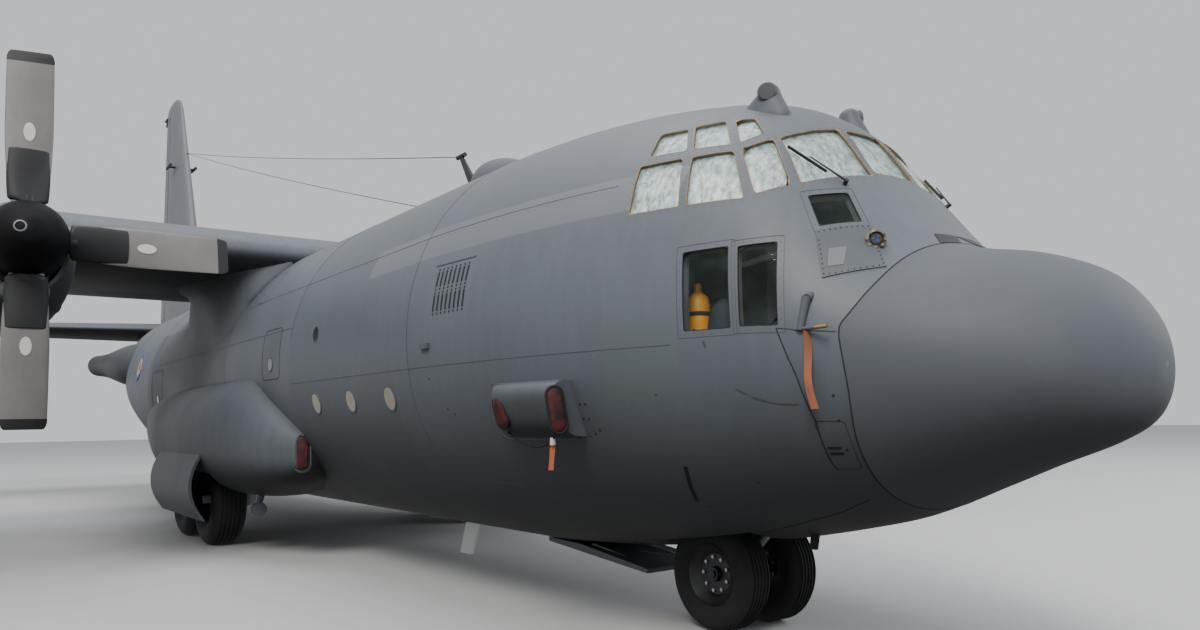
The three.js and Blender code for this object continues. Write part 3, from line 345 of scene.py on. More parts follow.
def fuselage_paint():
    """Grey paint with repainted areas and a painted shadow under the wing on the starboard side, and a grimy
    belly.
    """
    worn("fuselage_paint", SKIN, 0.55, 0.0, 0.06, 0.035)
    tree, target, color = painted("fuselage_paint")
    place, parts = coordinates(tree)
    for first, last, low, high, tone in PATCHES_AND_WING_SHADOW:
        mask = patch_mask(tree, parts, (first, last), (low, high), STARBOARD)
        color = mix(tree, math_node(tree, "MULTIPLY", mask, 0.75), color, tone)
    belly = ramp(tree, parts[2], 0.25, 0.85, 1.0, 0.0)
    grime = ramp(tree, noise(tree, scaled(tree, place, (2, 1, 4)), 1.6, 6), 0.35, 0.75)
    dirt = math_node(tree, "MULTIPLY", belly, math_node(tree, "MULTIPLY_ADD", grime, 0.35))
    tree.links.new(mix(tree, dirt, color, (0.05, 0.053, 0.055)), target)
    # Painted shade on the hull's underside, with some soot
    shade_and_soot_below("fuselage_paint", (0.025, 0.026, 0.026), 0.6)


FIN_GREY = (0.15, 0.162, 0.178)
BAND_BLUE, BAND_YELLOW, BAND_RED = (0.05, 0.1, 0.33), (0.62, 0.4, 0.06), (0.45, 0.04, 0.04)
# Upright bands on the rudder: first and last station, tone
BANDS = [(27.35, 27.65, BAND_BLUE), (27.65, 27.95, BAND_YELLOW), (27.95, 28.25, BAND_RED)]
BAND_HEIGHTS = (6.2, 7.4)


def fin_marks():
    """Fin paint with three plain upright bands on both sides of the rudder."""
    worn("fin_band_paint", FIN_GREY, 0.55, change=0.06)
    tree, target, color = painted("fin_band_paint")
    _, parts = coordinates(tree)
    for first, last, tone in BANDS:
        for side in SIDES:
            mask = patch_mask(tree, parts, (first, last), BAND_HEIGHTS, side, (0.001, 0.003), 0.002)
            color = mix(tree, mask, color, tone)
    tree.links.new(color, target)


def airframe_paints():
    fuselage_paint()
    fin_marks()
    worn("wing_paint", (0.098, 0.112, 0.13), 0.58, change=0.08, streaks=0.06)
    worn("radome_paint", (0.085, 0.095, 0.11), 0.66, change=0.05, streaks=0.02, scale=1.6)
    worn("fin_paint", FIN_GREY, 0.55, change=0.06)
    worn("panel_paint", (0.08, 0.091, 0.105), 0.6, change=0.05, streaks=0.04)
    worn("pod_paint", (0.077, 0.088, 0.102), 0.58, change=0.07, streaks=0.06)
    worn("dark_pod", (0.05, 0.056, 0.064), 0.5, change=0.1, scale=3)
    worn("stain_paint", (0.06, 0.065, 0.069), 0.65, change=0.15, scale=3)
    worn("light_panel", FIN_GREY, 0.5, change=0.06)
    # Painted shade on the undersides of the wing, radome, pods and stain runs, with some soot
    shade_and_soot_below("wing_paint", (0.014, 0.015, 0.016), 0.85)
    shade_and_soot_below("radome_paint", (0.03, 0.031, 0.031), 0.25)
    shade_and_soot_below("pod_paint", (0.02, 0.021, 0.022), 0.8)
    shade_and_soot_below("stain_paint", (0.012, 0.013, 0.014), 0.85)
    principled("seam_dark", (0.014, 0.015, 0.017), 0.8)
    principled("seam_soft", (0.066, 0.075, 0.086), 0.7)
    principled("mark_blue", BAND_BLUE, 0.55)
    principled("mark_yellow", BAND_YELLOW, 0.55)
    principled("mark_red", (0.4, 0.05, 0.04), 0.55)
    principled("marking_white", (0.6, 0.6, 0.58), 0.5)


def metal_and_rubber():
    worn("gear_white", (0.36, 0.37, 0.37), 0.42, change=0.12, scale=4)
    worn("bare_steel", (0.38, 0.38, 0.37), 0.35, 0.9, change=0.12, scale=6)
    worn("dark_metal", (0.03, 0.03, 0.033), 0.5, 0.4, change=0.2, scale=5)
    worn("engine_metal_look", (0.2, 0.18, 0.16), 0.45, 0.8, change=0.25, scale=5)
    worn("sensor_bronze", (0.16, 0.13, 0.1), 0.5, 0.7, change=0.2, scale=14)
    principled("brass", (0.42, 0.28, 0.1), 0.35, 0.8)
    principled("rubber_black", (0.007, 0.007, 0.007), 0.75)
    worn("tyre_black", (0.0095, 0.0095, 0.01), 0.85, change=0.3, streaks=0.12, scale=5, bump=0.004)
    worn("hub_black", (0.014, 0.014, 0.015), 0.45, change=0.3, scale=9)
    worn("blade_black", (0.012, 0.012, 0.013), 0.55, change=0.3, scale=3)
    worn("blade_grey", (0.19, 0.178, 0.17), 0.45, change=0.08, streaks=0.04, scale=3)
    worn("spinner_black", (0.005, 0.005, 0.006), 0.6, change=0.3, scale=3)
    spinner = MATERIALS["spinner_black"].node_tree.nodes["Principled BSDF"]
    spinner.inputs["Specular IOR Level"].default_value = 0.15


def cloth_and_cabin():
    worn("ribbon_orange", (0.5, 0.12, 0.05), 0.75, change=0.2, scale=8)
    worn("ribbon_tan", (0.3, 0.1, 0.05), 0.8, change=0.2, scale=8)
    worn("cover_red", (0.05, 0.006, 0.006), 0.75, change=0.8, scale=22)
    worn("bottle_yellow", (0.75, 0.33, 0.0), 0.5, change=0.15, scale=8)
    worn("webbing_black", (0.009, 0.01, 0.012), 0.8, change=0.2, scale=10)
    worn("bag_navy", (0.012, 0.016, 0.028), 0.85, change=0.25, scale=10)
    worn("cabin_grey", (0.13, 0.135, 0.125), 0.75, change=0.2, scale=3)
    worn("cabin_green", (0.2, 0.24, 0.215), 0.6, change=0.08, scale=3)
    worn("instrument_black", (0.02, 0.021, 0.022), 0.55, change=0.2, scale=6)
    worn("dial_face", (0.03, 0.035, 0.04), 0.25, change=0.2, scale=30)
    worn("seat_cloth", (0.05, 0.06, 0.055), 0.9, change=0.2, scale=25, bump=0.002)
    worn("floor_plate", (0.16, 0.165, 0.168), 0.5, 0.4, change=0.2, scale=3)
    worn("sealant", (0.3, 0.18, 0.085), 0.75, change=0.3, scale=20)


def glass():
    """Lenses and panes; the cockpit's are thinly see-through, with cloudy patches."""
    principled("lens_blue", (0.03, 0.06, 0.16), 0.06, coat=0.6)
    principled("amber_pane", (0.2, 0.17, 0.11), 0.2, coat=0.4)
    principled("dark_pane", (0.03, 0.035, 0.04), 0.12, coat=0.4)
    tree, b = principled("window_glass_look", (0.2, 0.26, 0.24), 0.04, 0.0, 0.15)
    b.inputs["IOR"].default_value = 1.28
    place, _ = coordinates(tree)
    tree.links.new(ramp(tree, noise(tree, place, 7, 5), 0.35, 0.8, 0.03, 0.1), b.inputs["Alpha"])


def foil():
    """Crinkled silver shades that hang behind the upper panes; their colour goes dark and light with the
    folds, as painted shade and reflection.
    """
    tree, b = principled("foil_shade", (0.62, 0.68, 0.66), 0.34, 0.5)
    place, _ = coordinates(tree)
    folds = noise(tree, scaled(tree, place, (14, 14, 3.5)), 3.0, 8, 0.62)
    bump = node(tree, "ShaderNodeBump", Strength=0.9, Distance=0.012)
    tree.links.new(folds, bump.inputs["Height"])
    tree.links.new(bump.outputs[0], b.inputs["Normal"])
    # Painted shade and reflection: the colour follows the height of the folds
    tone = ramp(tree, folds, 0.3, 0.7)
    tree.links.new(mix(tree, tone, (0.24, 0.33, 0.31), (0.72, 0.83, 0.8)), b.inputs["Base Color"])


# Meshes

def new_object(name, part):
    vertices, faces = part
    mesh = bpy.data.meshes.new(name)
    mesh.from_pydata(model(vertices).tolist(), [], faces)
    mesh.update()
    obj = bpy.data.objects.new(name, mesh)
    bpy.context.scene.collection.objects.link(obj)
    return obj


def to_object(name, part, material, body=AIR, sharp=35.0):
    """A finished piece from a (vertices, faces) pair or from a list of them."""
    obj = new_object(name, join_parts(part) if isinstance(part, list) else part)
    finished(obj, material, body, sharp)
    return obj


def finished(obj, material, body=AIR, sharp=35.0):
    """The piece gets its material and shading and rides on its body."""
    obj.data.materials.clear()
    obj.data.materials.append(MATERIALS[material])
    tidy_normals(obj.data, sharp)
    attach(obj, body)


def tidy_normals(mesh, sharp):
    """Faces turned outwards and shaded smooth, with edges sharper than an angle kept."""
    bm = bmesh.new()
    bm.from_mesh(mesh)
    bmesh.ops.recalc_face_normals(bm, faces=bm.faces)
    bm.to_mesh(mesh)
    bm.free()
    mesh.shade_smooth()
    mesh.set_sharp_from_angle(angle=math.radians(sharp))


def grid_faces(rows, columns, closed=True, start=0):
    """Faces between rows of points that are numbered one row after another."""
    faces = []
    for r in range(rows - 1):
        for c in range(columns if closed else columns - 1):
            d = (c + 1) % columns
            faces.append([start + r * columns + c, start + r * columns + d,
                          start + (r + 1) * columns + d, start + (r + 1) * columns + c])
    return faces


def loft(rings):
    """Vertices and faces of a closed body over rings of equal point count."""
    rings = [np.asarray(r, float) for r in rings]
    count = len(rings[0])
    vertices = np.concatenate(rings)
    faces = grid_faces(len(rings), count)
    faces.append(list(range(count)))
    faces.append(list(range(len(vertices) - count, len(vertices)))[::-1])
    return vertices, faces


def tube_shell(outer, inner):
    """A hollow body between an outer and an inner grid, open at both ends but closed over its wall."""
    rows, columns = outer.shape[:2]
    vertices = np.concatenate([outer.reshape(-1, 3), inner.reshape(-1, 3)])
    shift = rows * columns
    faces = grid_faces(rows, columns)
    faces += [f[::-1] for f in grid_faces(rows, columns, True, shift)]
    for r in (0, rows - 1):
        for c in range(columns):
            d = (c + 1) % columns
            faces.append([r * columns + c, r * columns + d, shift + r * columns + d, shift + r * columns + c])
    return vertices, faces


def join_parts(parts):
    """Several (vertices, faces) pairs as one."""
    vertices, faces, count = [], [], 0
    for v, f in parts:
        v = np.asarray(v, float).reshape(-1, 3)
        vertices.append(v)
        faces += [[i + count for i in face] for face in f]
        count += len(v)
    return np.concatenate(vertices), faces


def box_part(x, y, z):
    corners = [[x[i], y[j], z[k]] for i in (0, 1) for j in (0, 1) for k in (0, 1)]
    faces = [[0, 1, 3, 2], [4, 6, 7, 5], [0, 4, 5, 1], [2, 3, 7, 6], [0, 2, 6, 4], [1, 5, 7, 3]]
    return np.array(corners, float), faces


def turned_rings(profile, origin, axis, sides):
    """Rings about an axis, one for each (radius, distance along the axis) of a profile."""
    axis = unit(axis)
    helper = [0, 0, 1.0] if abs(axis[2]) < 0.9 else [1.0, 0, 0]
    u = unit(np.cross(axis, helper))
    ring = around(u, np.cross(axis, u), sides)
    return [np.asarray(origin, float) + axis * d + ring * max(r, 1e-4) for r, d in profile]


def around(u, v, sides):
    """A circle of unit size in the plane of two directions."""
    t = angles_round(sides)[:, None]
    return np.cos(t) * u + np.sin(t) * v


def bar_part(a, b, radius, end_radius=None, sides=24):
    """A round bar from one point to another."""
    way = np.asarray(b, float) - np.asarray(a, float)
    profile = [(radius, 0), (radius if end_radius is None else end_radius, np.linalg.norm(way))]
    return lathe_part(profile, a, way, sides)


def lathe_part(profile, origin, axis, sides=64):
    """A body turned about an axis, with its profile's ends capped."""
    return loft(turned_rings(profile, origin, axis, sides))


def hoop_part(profile, origin, axis, sides=64):
    """A ring turned about an axis, with its profile joined to its own start."""
    return swept(turned_rings(profile, origin, axis, sides), True)


def sweep_part(path, radius, sides=10):
    """A round line along a path of points."""
    p = np.asarray(path, float)
    tangents = unit(np.gradient(p, axis=0))
    u = np.cross(tangents[0], [0.31, 0.57, 0.76])
    rings = []
    for point, along in zip(p, tangents):
        u = unit(u - along * (u @ along))
        rings.append(point + radius * around(u, np.cross(along, u), sides))
    return loft(rings)


def prism_part(outline, direction, depth):
    """A flat outline pushed along a direction."""
    o = np.asarray(outline, float)
    return loft([o, o + np.asarray(direction, float) * depth])


# Cutting

def cut(obj, part, operation="DIFFERENCE"):
    """Takes a part away from a body, or keeps only what both share."""
    tool = raw("cutter", part)
    m = obj.modifiers.new("cut", "BOOLEAN")
    m.operation = operation
    m.object = tool
    m.solver = "MANIFOLD"
    graph = bpy.context.evaluated_depsgraph_get()
    mesh = bpy.data.meshes.new_from_object(obj.evaluated_get(graph))
    obj.modifiers.clear()
    old = obj.data
    obj.data = mesh
    bpy.data.meshes.remove(old)
    bpy.data.meshes.remove(tool.data)


def raw(name, part):
    """A body without looks yet, with its faces turned outwards."""
    obj = new_object(name, part)
    tidy_normals(obj.data, 35.0)
    return obj


# Shapes shared by the pieces below

# Angles of the points round the hull
SMOOTH_TURN = angles_round(128) + math.pi / 128
# How far strips reach down into the skin, and below which depth the inside takes its own finish
STRIP_DEPTH, INSIDE_DEPTH = 0.012, 0.04
# How nearly a face lies along the hull's curve to be shaded as part of it
ALONG_SKIN = 0.93
# A place inside the forward fuselage, from which outwards is told
CORE = np.array([0, 3.4, 2.6])


def stations_between(first, last, step):
    """Even stations, no further apart than a step."""
    return np.linspace(first, last, max(2, math.ceil((last - first) / step) + 1))


def hull_block(first, last, grow=0.0, step=0.1):
    """The solid hull between two stations, grown or shrunk all round."""
    return loft(hull_points(stations_between(first, last, step), SMOOTH_TURN, grow))


def read_values(items, name, width, kind=float):
    values = np.empty(len(items) * width, kind)
    items.foreach_get(name, values)
    return values.reshape(-1, width)


def skin_normals_on(obj):
    """Shading that follows the true curve of the hull, inside and out, and stays flat on cut edges."""
    mesh = obj.data
    normals = skin_normal(full_size(read_values(mesh.vertices, "co", 3)))
    curve = normals[read_values(mesh.loops, "vertex_index", 1, int)[:, 0]]
    corners = read_values(mesh.polygons, "loop_total", 1, int)[:, 0]
    flat = np.repeat(read_values(mesh.polygons, "normal", 3), corners, axis=0)
    along = (curve * flat).sum(1)[:, None]
    out = np.where(np.abs(along) > ALONG_SKIN, curve * np.sign(along), flat)
    mesh.shade_smooth()
    mesh.normals_split_custom_set(out.tolist())


def line_inside(obj):
    """The faces well below the skin take the cabin's finish."""
    mesh = obj.data
    mesh.materials.append(MATERIALS["cabin_grey"])
    level = hull_level(full_size(read_values(mesh.polygons, "center", 3)), -INSIDE_DEPTH)
    mesh.polygons.foreach_set("material_index", (level < 0).astype(np.int32))


def hull_piece(solid, material, nodes, body=AIR):
    """The last steps for a cut piece of the hull, and the frame's nodes that it takes the place of."""
    finished(solid, material, body)
    line_inside(solid)
    skin_normals_on(solid)
    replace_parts(solid, *nodes)


def swept(sections, closed=False):
    """A body over sections of equal point count, with caps or joined to its own start."""
    s = np.asarray(sections, float)
    rows, columns = s.shape[:2]
    faces = grid_faces(rows, columns)
    if closed:
        last = (rows - 1) * columns
        for c in range(columns):
            d = (c + 1) % columns
            faces.append([last + c, last + d, d, c])
    else:
        faces.append(list(range(columns)))
        faces.append(list(range((rows - 1) * columns, rows * columns))[::-1])
    return s.reshape(-1, 3), faces


def densify(points, step, closed=False):
    """A path with more points, none further apart than a step."""
    p = np.asarray(points, float)
    if closed:
        p = np.concatenate([p, p[:1]])
    out = []
    for a, b in zip(p[:-1], p[1:]):
        count = max(1, math.ceil(np.linalg.norm(b - a) / step))
        out += [a + (b - a) * i / count for i in range(count)]
    if not closed:
        out.append(p[-1])
    return np.array(out)


def skin_strip(points, width, lift=0.0025, closed=False):
    """A thin flat bar that lies on the skin along points of the skin."""
    p = np.asarray(points, float)
    n = skin_normal(p)
    along = np.roll(p, -1, axis=0) - np.roll(p, 1, axis=0) if closed else np.gradient(p, axis=0)
    half = unit(np.cross(along, n)) * width / 2
    high, low = p + n * lift, p - n * STRIP_DEPTH
    return swept(np.stack([high - half, high + half, low + half, low - half], 1), closed)


def closed_strip(points, width, lift=0.002):
    return skin_strip(points, width, lift, True)


def skin_frame(outer, inner, lift, depth):
    """A closed flat band on the skin between two outlines with the same points."""
    n, m = skin_normal(outer), skin_normal(inner)
    corners = [outer + n * lift, inner + m * lift, inner - m * depth, outer - n * depth]
    return swept(np.stack(corners, 1), True)


def corner_ways(corners):
    """Each corner of an outline with its directions to the corners before and after it."""
    for before, p, after in zip(np.roll(corners, 1, axis=0), corners, np.roll(corners, -1, axis=0)):
        yield p, unit(before - p), unit(after - p)


def offset_corners(corners, distance):
    """The corners of a flat outline, with its edges moved outwards."""
    moved = [p - (u + v) * distance / np.linalg.norm(np.cross(u, v)) for p, u, v in corner_ways(corners)]
    return np.array(moved)


def rounded(corners, radius):
    """An outline whose corners are curves of five points."""
    out = []
    for p, u, v in corner_ways(corners):
        for t in np.linspace(0, 1, 5):
            out.append((1 - t) ** 2 * (p + u * radius) + 2 * t * (1 - t) * p + t * t * (p + v * radius))
    return np.array(out)


def outward_of(corners):
    """The direction square to four corners that points away from the cabin."""
    n = unit(np.cross(corners[2] - corners[0], corners[3] - corners[1]))
    return n if n @ (corners.mean(0) - CORE) > 0 else -n


def draped(points, normal, lift=0.0):
    """Points moved along a direction onto the skin, then lifted off it."""
    p = onto_skin(points, normal)
    return p + skin_normal(p) * lift


def skin_outline(corners, radius, step, normal, lift=0.0):
    """A rounded outline that lies on the skin."""
    return draped(densify(rounded(corners, radius), step, True), normal, lift)


def skin_patch(corners, high, low, count=12):
    """A curved plate that follows the skin between two levels, over four corners."""
    t = np.linspace(0, 1, count)
    u, v = np.meshgrid(t, t)
    a, b, c, d = corners
    flat = (
        a * ((1 - u) * (1 - v))[..., None] + b * (u * (1 - v))[..., None]
        + c * (u * v)[..., None] + d * ((1 - u) * v)[..., None]
    )
    skin = draped(flat, outward_of(corners))
    n = skin_normal(skin)
    return plate_part(skin + n * high, skin + n * low)


def plate_part(top, bottom):
    """A thick plate between two grids of points."""
    rows, columns = top.shape[:2]
    shift = rows * columns
    faces = grid_faces(rows, columns, False)
    faces += [f[::-1] for f in grid_faces(rows, columns, False, shift)]
    edge = [(0, c) for c in range(columns)] + [(r, columns - 1) for r in range(1, rows)]
    edge += [(rows - 1, c) for c in range(columns - 2, -1, -1)] + [(r, 0) for r in range(rows - 2, 0, -1)]
    index = [r * columns + c for r, c in edge]
    for a, b in zip(index, index[1:] + index[:1]):
        faces.append([b, a, a + shift, b + shift])
    return np.concatenate([top.reshape(-1, 3), bottom.reshape(-1, 3)]), faces


def dots_part(places, normals, radius, height, sides=8):
    """Round heads, each standing on its place along its normal."""
    parts = []
    for p, n in zip(np.asarray(places, float), np.asarray(normals, float)):
        parts.append(bar_part(p - n * radius, p + n * height, radius, radius * 0.7, sides))
    return join_parts(parts)


def skin_dots(points, radius, height=0.003, sides=8):
    p = np.asarray(points, float)
    return dots_part(p, skin_normal(p), radius, height, sides)


def side_path(side, places, step=0.12):
    """Points of the skin through places of (station, height) on one side."""
    return onto_side(densify([[0, s, z] for s, z in places], step), side)


def ring_path(station, first, last, count):
    """Points round the hull at a station; angles in degrees from port, over the top."""
    turn = np.radians(np.linspace(first, last, count))
    return hull_points([station], turn)[0]


def path_at(points, distances):
    """A path read at the distances along it that a function gives for its length."""
    p = np.asarray(points, float)
    run = np.concatenate([[0], np.cumsum(np.linalg.norm(np.diff(p, axis=0), axis=1))])
    where = distances(run[-1])
    return np.stack([np.interp(where, run, p[:, i]) for i in range(3)], 1)


def every(points, distance):
    """Points at an even distance along a path."""
    return path_at(points, lambda length: np.arange(distance / 2, length, distance))


def sample(points, count):
    """An even number of points along a path, from end to end."""
    return path_at(points, lambda length: np.linspace(0, length, count))


def curve_through(points, count=24):
    """A smooth path along a few points, by cutting its corners three times."""
    p = np.asarray(points, float)
    for _ in range(3):
        out = [p[0]]
        for a, b in zip(p[:-1], p[1:]):
            out += [a * 0.75 + b * 0.25, a * 0.25 + b * 0.75]
        out.append(p[-1])
        p = np.array(out)
    return sample(p, count)


def smooth_profile(points):
    """A rounder profile along a few points of (radius, distance)."""
    return [(x, y) for x, y, _ in curve_through([[x, y, 0] for x, y in points])]


def level_ring(x, station, z, across, along, count):
    """A level ellipse."""
    t = angles_round(count)
    return np.stack([x + across * np.cos(t), station + along * np.sin(t), np.full(count, z)], 1)


def upright_ring(x, station, z, across, up):
    """An upright ellipse of 48 points across the plane."""
    t = angles_round(48)
    return np.stack([x + across * np.cos(t), np.full(48, station), z + up * np.sin(t)], 1)


# Cockpit windows of one side: (station, height) at the aft and fore bottom, then the fore and aft top,
# with the corner radius and what is behind the pane
SIDE_WINDOWS = [
    (((2.98, 3.34), (2.57, 3.34), (2.73, 3.77), (3.09, 3.77)), 0.015, "shade"),
    (((2.52, 3.34), (2.13, 3.34), (2.38, 3.77), (2.665, 3.765)), 0.015, "shade"),
    (((2.08, 3.36), (1.93, 3.43), (2.22, 3.865), (2.345, 3.78)), 0.04, "shade"),
    (((3.06, 3.845), (2.74, 3.835), (2.92, 4.09), (3.15, 4.09)), 0.015, "shade"),
    (((2.7, 3.84), (2.43, 3.83), (2.67, 4.115), (2.88, 4.1)), 0.015, "shade"),
    (((2.385, 3.84), (2.3, 3.92), (2.49, 4.11), (2.6, 4.1)), 0.015, "shade"),
    (((2.395, 2.415), (2.055, 2.415), (2.13, 2.99), (2.445, 2.98)), 0.015, "clear"),
    (((1.995, 2.42), (1.74, 2.41), (1.84, 2.99), (2.07, 2.98)), 0.015, "clear"),
]
# Panes that face forwards: (distance from the middle, height) in the same order from the outer bottom
SCREEN_PANES = [
    (((0.935, 3.44), (0.29, 3.56), (0.27, 4.0), (0.81, 3.87)), 0.015, "shade"),
    (((1.02, 3.09), (0.735, 3.13), (0.66, 3.375), (0.95, 3.34)), 0.015, "clear"),
]
CENTRE_PANE = ((-0.25, 3.59), (0.25, 3.59), (0.21, 4.0), (-0.21, 4.0))


def window_list():
    """Corners, corner radius and look of each window."""
    out = []
    for side in SIDES:
        for places, radius, look in SIDE_WINDOWS:
            out.append((np.array([side_point(s, z, side) for s, z in places]), radius, look))
        for places, radius, look in SCREEN_PANES:
            out.append((np.array([front_point(side * x, z) for x, z in places]), radius, look))
    out.append((np.array([front_point(x, z) for x, z in CENTRE_PANE]), 0.03, "shade"))
    return out


# Stations where the hull is parted, and the thickness of its walls
NOSE_SEAM, FORWARD_JOINT, RAMP_STATION, TAIL_JOINT, LENGTH = 1.38, 5.79, 18.2, 26.8, 29.79
WALL, AFT_WALL = 0.11, 0.06
# Doors in the sides: fore and aft station, bottom and top
CREW_DOOR = (4.0, 4.75, 1.06, 2.25)
PARATROOP_DOOR = (17.2, 18.11, 1.08, 2.9)
# Well of the nose gear: fore and aft station, half width, top
NOSE_WELL = (2.72, 4.16, 0.67, 1.9)
# Half width of the rear opening, the ramp's end and the hold's floor
OPENING_HALF, RAMP_END, RAMP_END_TOP, FLOOR_TOP = 1.4, 21.5, 1.72, 1.04
# Hinges of the ramp and the rear door, as (station, height)
RAMP_HINGE, REAR_HINGE = (18.265, 0.645), (25.1, 3.06)
REAR_DOOR_RADIUS, REAR_DOOR_END_HALF = 3.94, 1.05
# Room left round everything that moves
MOVE_GAP = 0.02


def crew_door_space(margin):
    """A block through the port wall, as large as the crew door and its margin."""
    fore, aft, low, high = CREW_DOOR
    a, b = side_point(fore, low, PORT), side_point(aft, low, PORT)
    along = unit(b - a)
    out = np.array([along[1], -along[0], 0])
    a, b = a - along * margin, b + along * margin
    base = np.array([a - out * 0.5, b - out * 0.5, b + out * 1.2, a + out * 1.2])
    base[:, 2] = low - margin
    return prism_part(base, [0, 0, 1], high - low + 2 * margin)


def side_wedge(outline, half):
    """A block across the plane over an outline of (station, height)."""
    return loft([[[x, s, z] for s, z in outline] for x in (-half, half)])


def rear_opening(margin):
    """A block up through the ramp and the rear door, narrower towards its end."""
    half, end_half = OPENING_HALF + margin, REAR_DOOR_END_HALF + margin
    end = REAR_HINGE[0] + margin * 3
    port_side = [(half, 18.0), (half, RAMP_END), (end_half, end)]
    plan = [(-half, 18.0), *port_side, (-end_half, end), (-half, RAMP_END)]
    return prism_part([[x, s, -0.2] for x, s in plan], [0, 0, 1], 3.82)


def door_drum(radius):
    """The round that the rear door's front edge turns in."""
    return bar_part([-2.4, *REAR_HINGE], [2.4, *REAR_HINGE], radius, sides=160)


# Where the radome ends: height and station, from the belly to the brow
RADOME_EDGE = np.array([
    [0.9, 1.455],
    [1.23, 1.44],
    [1.59, 1.4],
    [2.0, 1.352],
    [2.22, 1.368],
    [2.34, 1.382],
    [2.381, 1.38],
    [2.44, 1.348],
    [2.52, 1.308],
    [2.714, 1.244],
    [2.97, 1.21],
    [3.3, 1.17],
])


def radome_edge(heights):
    """Stations of the radome's edge."""
    return smooth_rows(RADOME_EDGE, heights)[..., 0]


def radome_side(gap):
    """Everything ahead of the radome's edge, as a block across the plane."""
    heights = np.linspace(RADOME_EDGE[0, 0], RADOME_EDGE[-1, 0], 60)
    edge = [(s - gap, z) for s, z in zip(radome_edge(heights), heights)]
    return side_wedge([(-0.3, 0.9), *edge, (-0.3, 3.3)], 1.8)


def radome_path():
    """Points of the skin all round the radome's edge."""
    count = 150
    turn = angles_round(count)
    station = np.full(count, NOSE_SEAM)
    for _ in range(14):
        points = hull_points(station, turn)[range(count), range(count)]
        station = radome_edge(points[:, 2])
    return points


def build_radome():
    tip = np.concatenate([np.linspace(0, math.sqrt(1.1), 36) ** 2, np.linspace(1.13, 1.5, 14)])
    radome = raw("radome_skin", loft(hull_points(tip, SMOOTH_TURN)))
    cut(radome, radome_side(0.003), "INTERSECT")
    hull_piece(radome, "radome_paint", ["radome"])


def build_nose():
    nose = raw("nose_skin", hull_block(1.0, FORWARD_JOINT - 0.001, step=0.06))
    cut(nose, radome_side(-0.003))
    cut(nose, hull_block(NOSE_SEAM + 0.17, FORWARD_JOINT + 0.1, -WALL))
    for corners, radius, _ in window_list():
        n = outward_of(corners)
        cut(nose, prism_part(rounded(corners, radius) + n * 0.12, -n, 0.42))
    fore, aft, half, top = NOSE_WELL
    cut(nose, box_part((-half, half), (fore, aft), (0.3, top)))
    cut(nose, crew_door_space(MOVE_GAP))
    hull_piece(nose, "fuselage_paint", ["forward_fuselage"])

    door = raw("crew_door_skin", hull_block(3.7, 5.1))
    cut(door, hull_block(3.6, 5.2, -WALL))
    cut(door, crew_door_space(0), "INTERSECT")
    hull_piece(door, "fuselage_paint", ["crew_door"], "crew_door")


def side_block(side, stations, heights, margin=0.0):
    """A block through one side wall between two stations and two heights."""
    grown = [(low - margin, high + margin) for low, high in (stations, heights)]
    return box_part(sorted((side * 0.5, side * 2.4)), *grown)


def build_centre():
    """The hull's middle with a door that stays shut in each side."""
    tube = raw("centre_skin", hull_block(FORWARD_JOINT + 0.001, RAMP_STATION, step=0.6))
    cut(tube, hull_block(FORWARD_JOINT - 0.1, RAMP_STATION + 0.1, -WALL, 1.0))
    fore, aft, low, high = PARATROOP_DOOR
    for side in SIDES:
        cut(tube, side_block(side, (fore, aft), (low, high), 0.004))
        leaf = raw(f"paratroop_door_skin_{side_name(side)}", hull_block(fore, aft, step=0.3))
        cut(leaf, hull_block(fore - 0.1, aft + 0.1, -WALL, 0.3))
        cut(leaf, side_block(side, (fore, aft), (low, high)), "INTERSECT")
        hull_piece(leaf, "fuselage_paint", [f"paratroop_door_{side_name(side)}"])
    hull_piece(tube, "fuselage_paint", ["centre_fuselage"])


def build_rear():
    rear = raw("rear_skin", hull_block(RAMP_STATION + 0.001, TAIL_JOINT, step=0.2))
    cut(rear, hull_block(RAMP_STATION - 0.05, TAIL_JOINT + 0.1, -AFT_WALL, 0.2))
    cut(rear, rear_opening(MOVE_GAP))
    hull_piece(rear, "fuselage_paint", ["aft_fuselage"])

    end = np.concatenate([stations_between(TAIL_JOINT + 0.001, 29.3, 0.15), np.linspace(29.35, LENGTH, 8)])
    cone = raw("tail_cone_skin", loft(hull_points(end, SMOOTH_TURN)))
    hull_piece(cone, "fuselage_paint", ["tail_cone"])


def knuckles(hinge, places, half):
    """Short bars on a hinge line across the plane."""
    return [bar_part([x - half, *hinge], [x + half, *hinge], 0.045) for x in places]


def build_rear_doors():
    start = RAMP_HINGE[0] + 0.01
    ramp_part = raw("ramp_skin", hull_block(start, RAMP_END + 0.1, step=0.2))
    wedge = [(start - 0.1, 0.3), (start - 0.1, FLOOR_TOP - 0.02), (start, FLOOR_TOP),
             (RAMP_END + 0.1, RAMP_END_TOP), (RAMP_END + 0.1, 0.3)]
    cut(ramp_part, side_wedge(wedge, OPENING_HALF), "INTERSECT")
    cut(ramp_part, door_drum(REAR_DOOR_RADIUS + MOVE_GAP))
    hull_piece(ramp_part, "fuselage_paint", ["cargo_ramp"], "cargo_ramp")
    to_object("ramp_knuckles", knuckles(RAMP_HINGE, (-0.4, 0.4), 0.12), "dark_metal", "cargo_ramp")

    end = REAR_HINGE[0] - 0.03
    door = raw("rear_door_skin", hull_block(21.0, end, step=0.2))
    cut(door, hull_block(20.9, end + 0.1, -AFT_WALL - 0.05, 0.2))
    cut(door, box_part((-2.2, 2.2), (20.0, end + 0.05), (0, 3.3)), "INTERSECT")
    cut(door, rear_opening(0), "INTERSECT")
    cut(door, door_drum(REAR_DOOR_RADIUS), "INTERSECT")
    hull_piece(door, "fuselage_paint", ["cargo_door"], "cargo_door")
    to_object("rear_door_knuckles", knuckles(REAR_HINGE, (-0.6, 0.6), 0.11), "dark_metal", "cargo_door")


# Window panes, shades, sealant and frame bolts

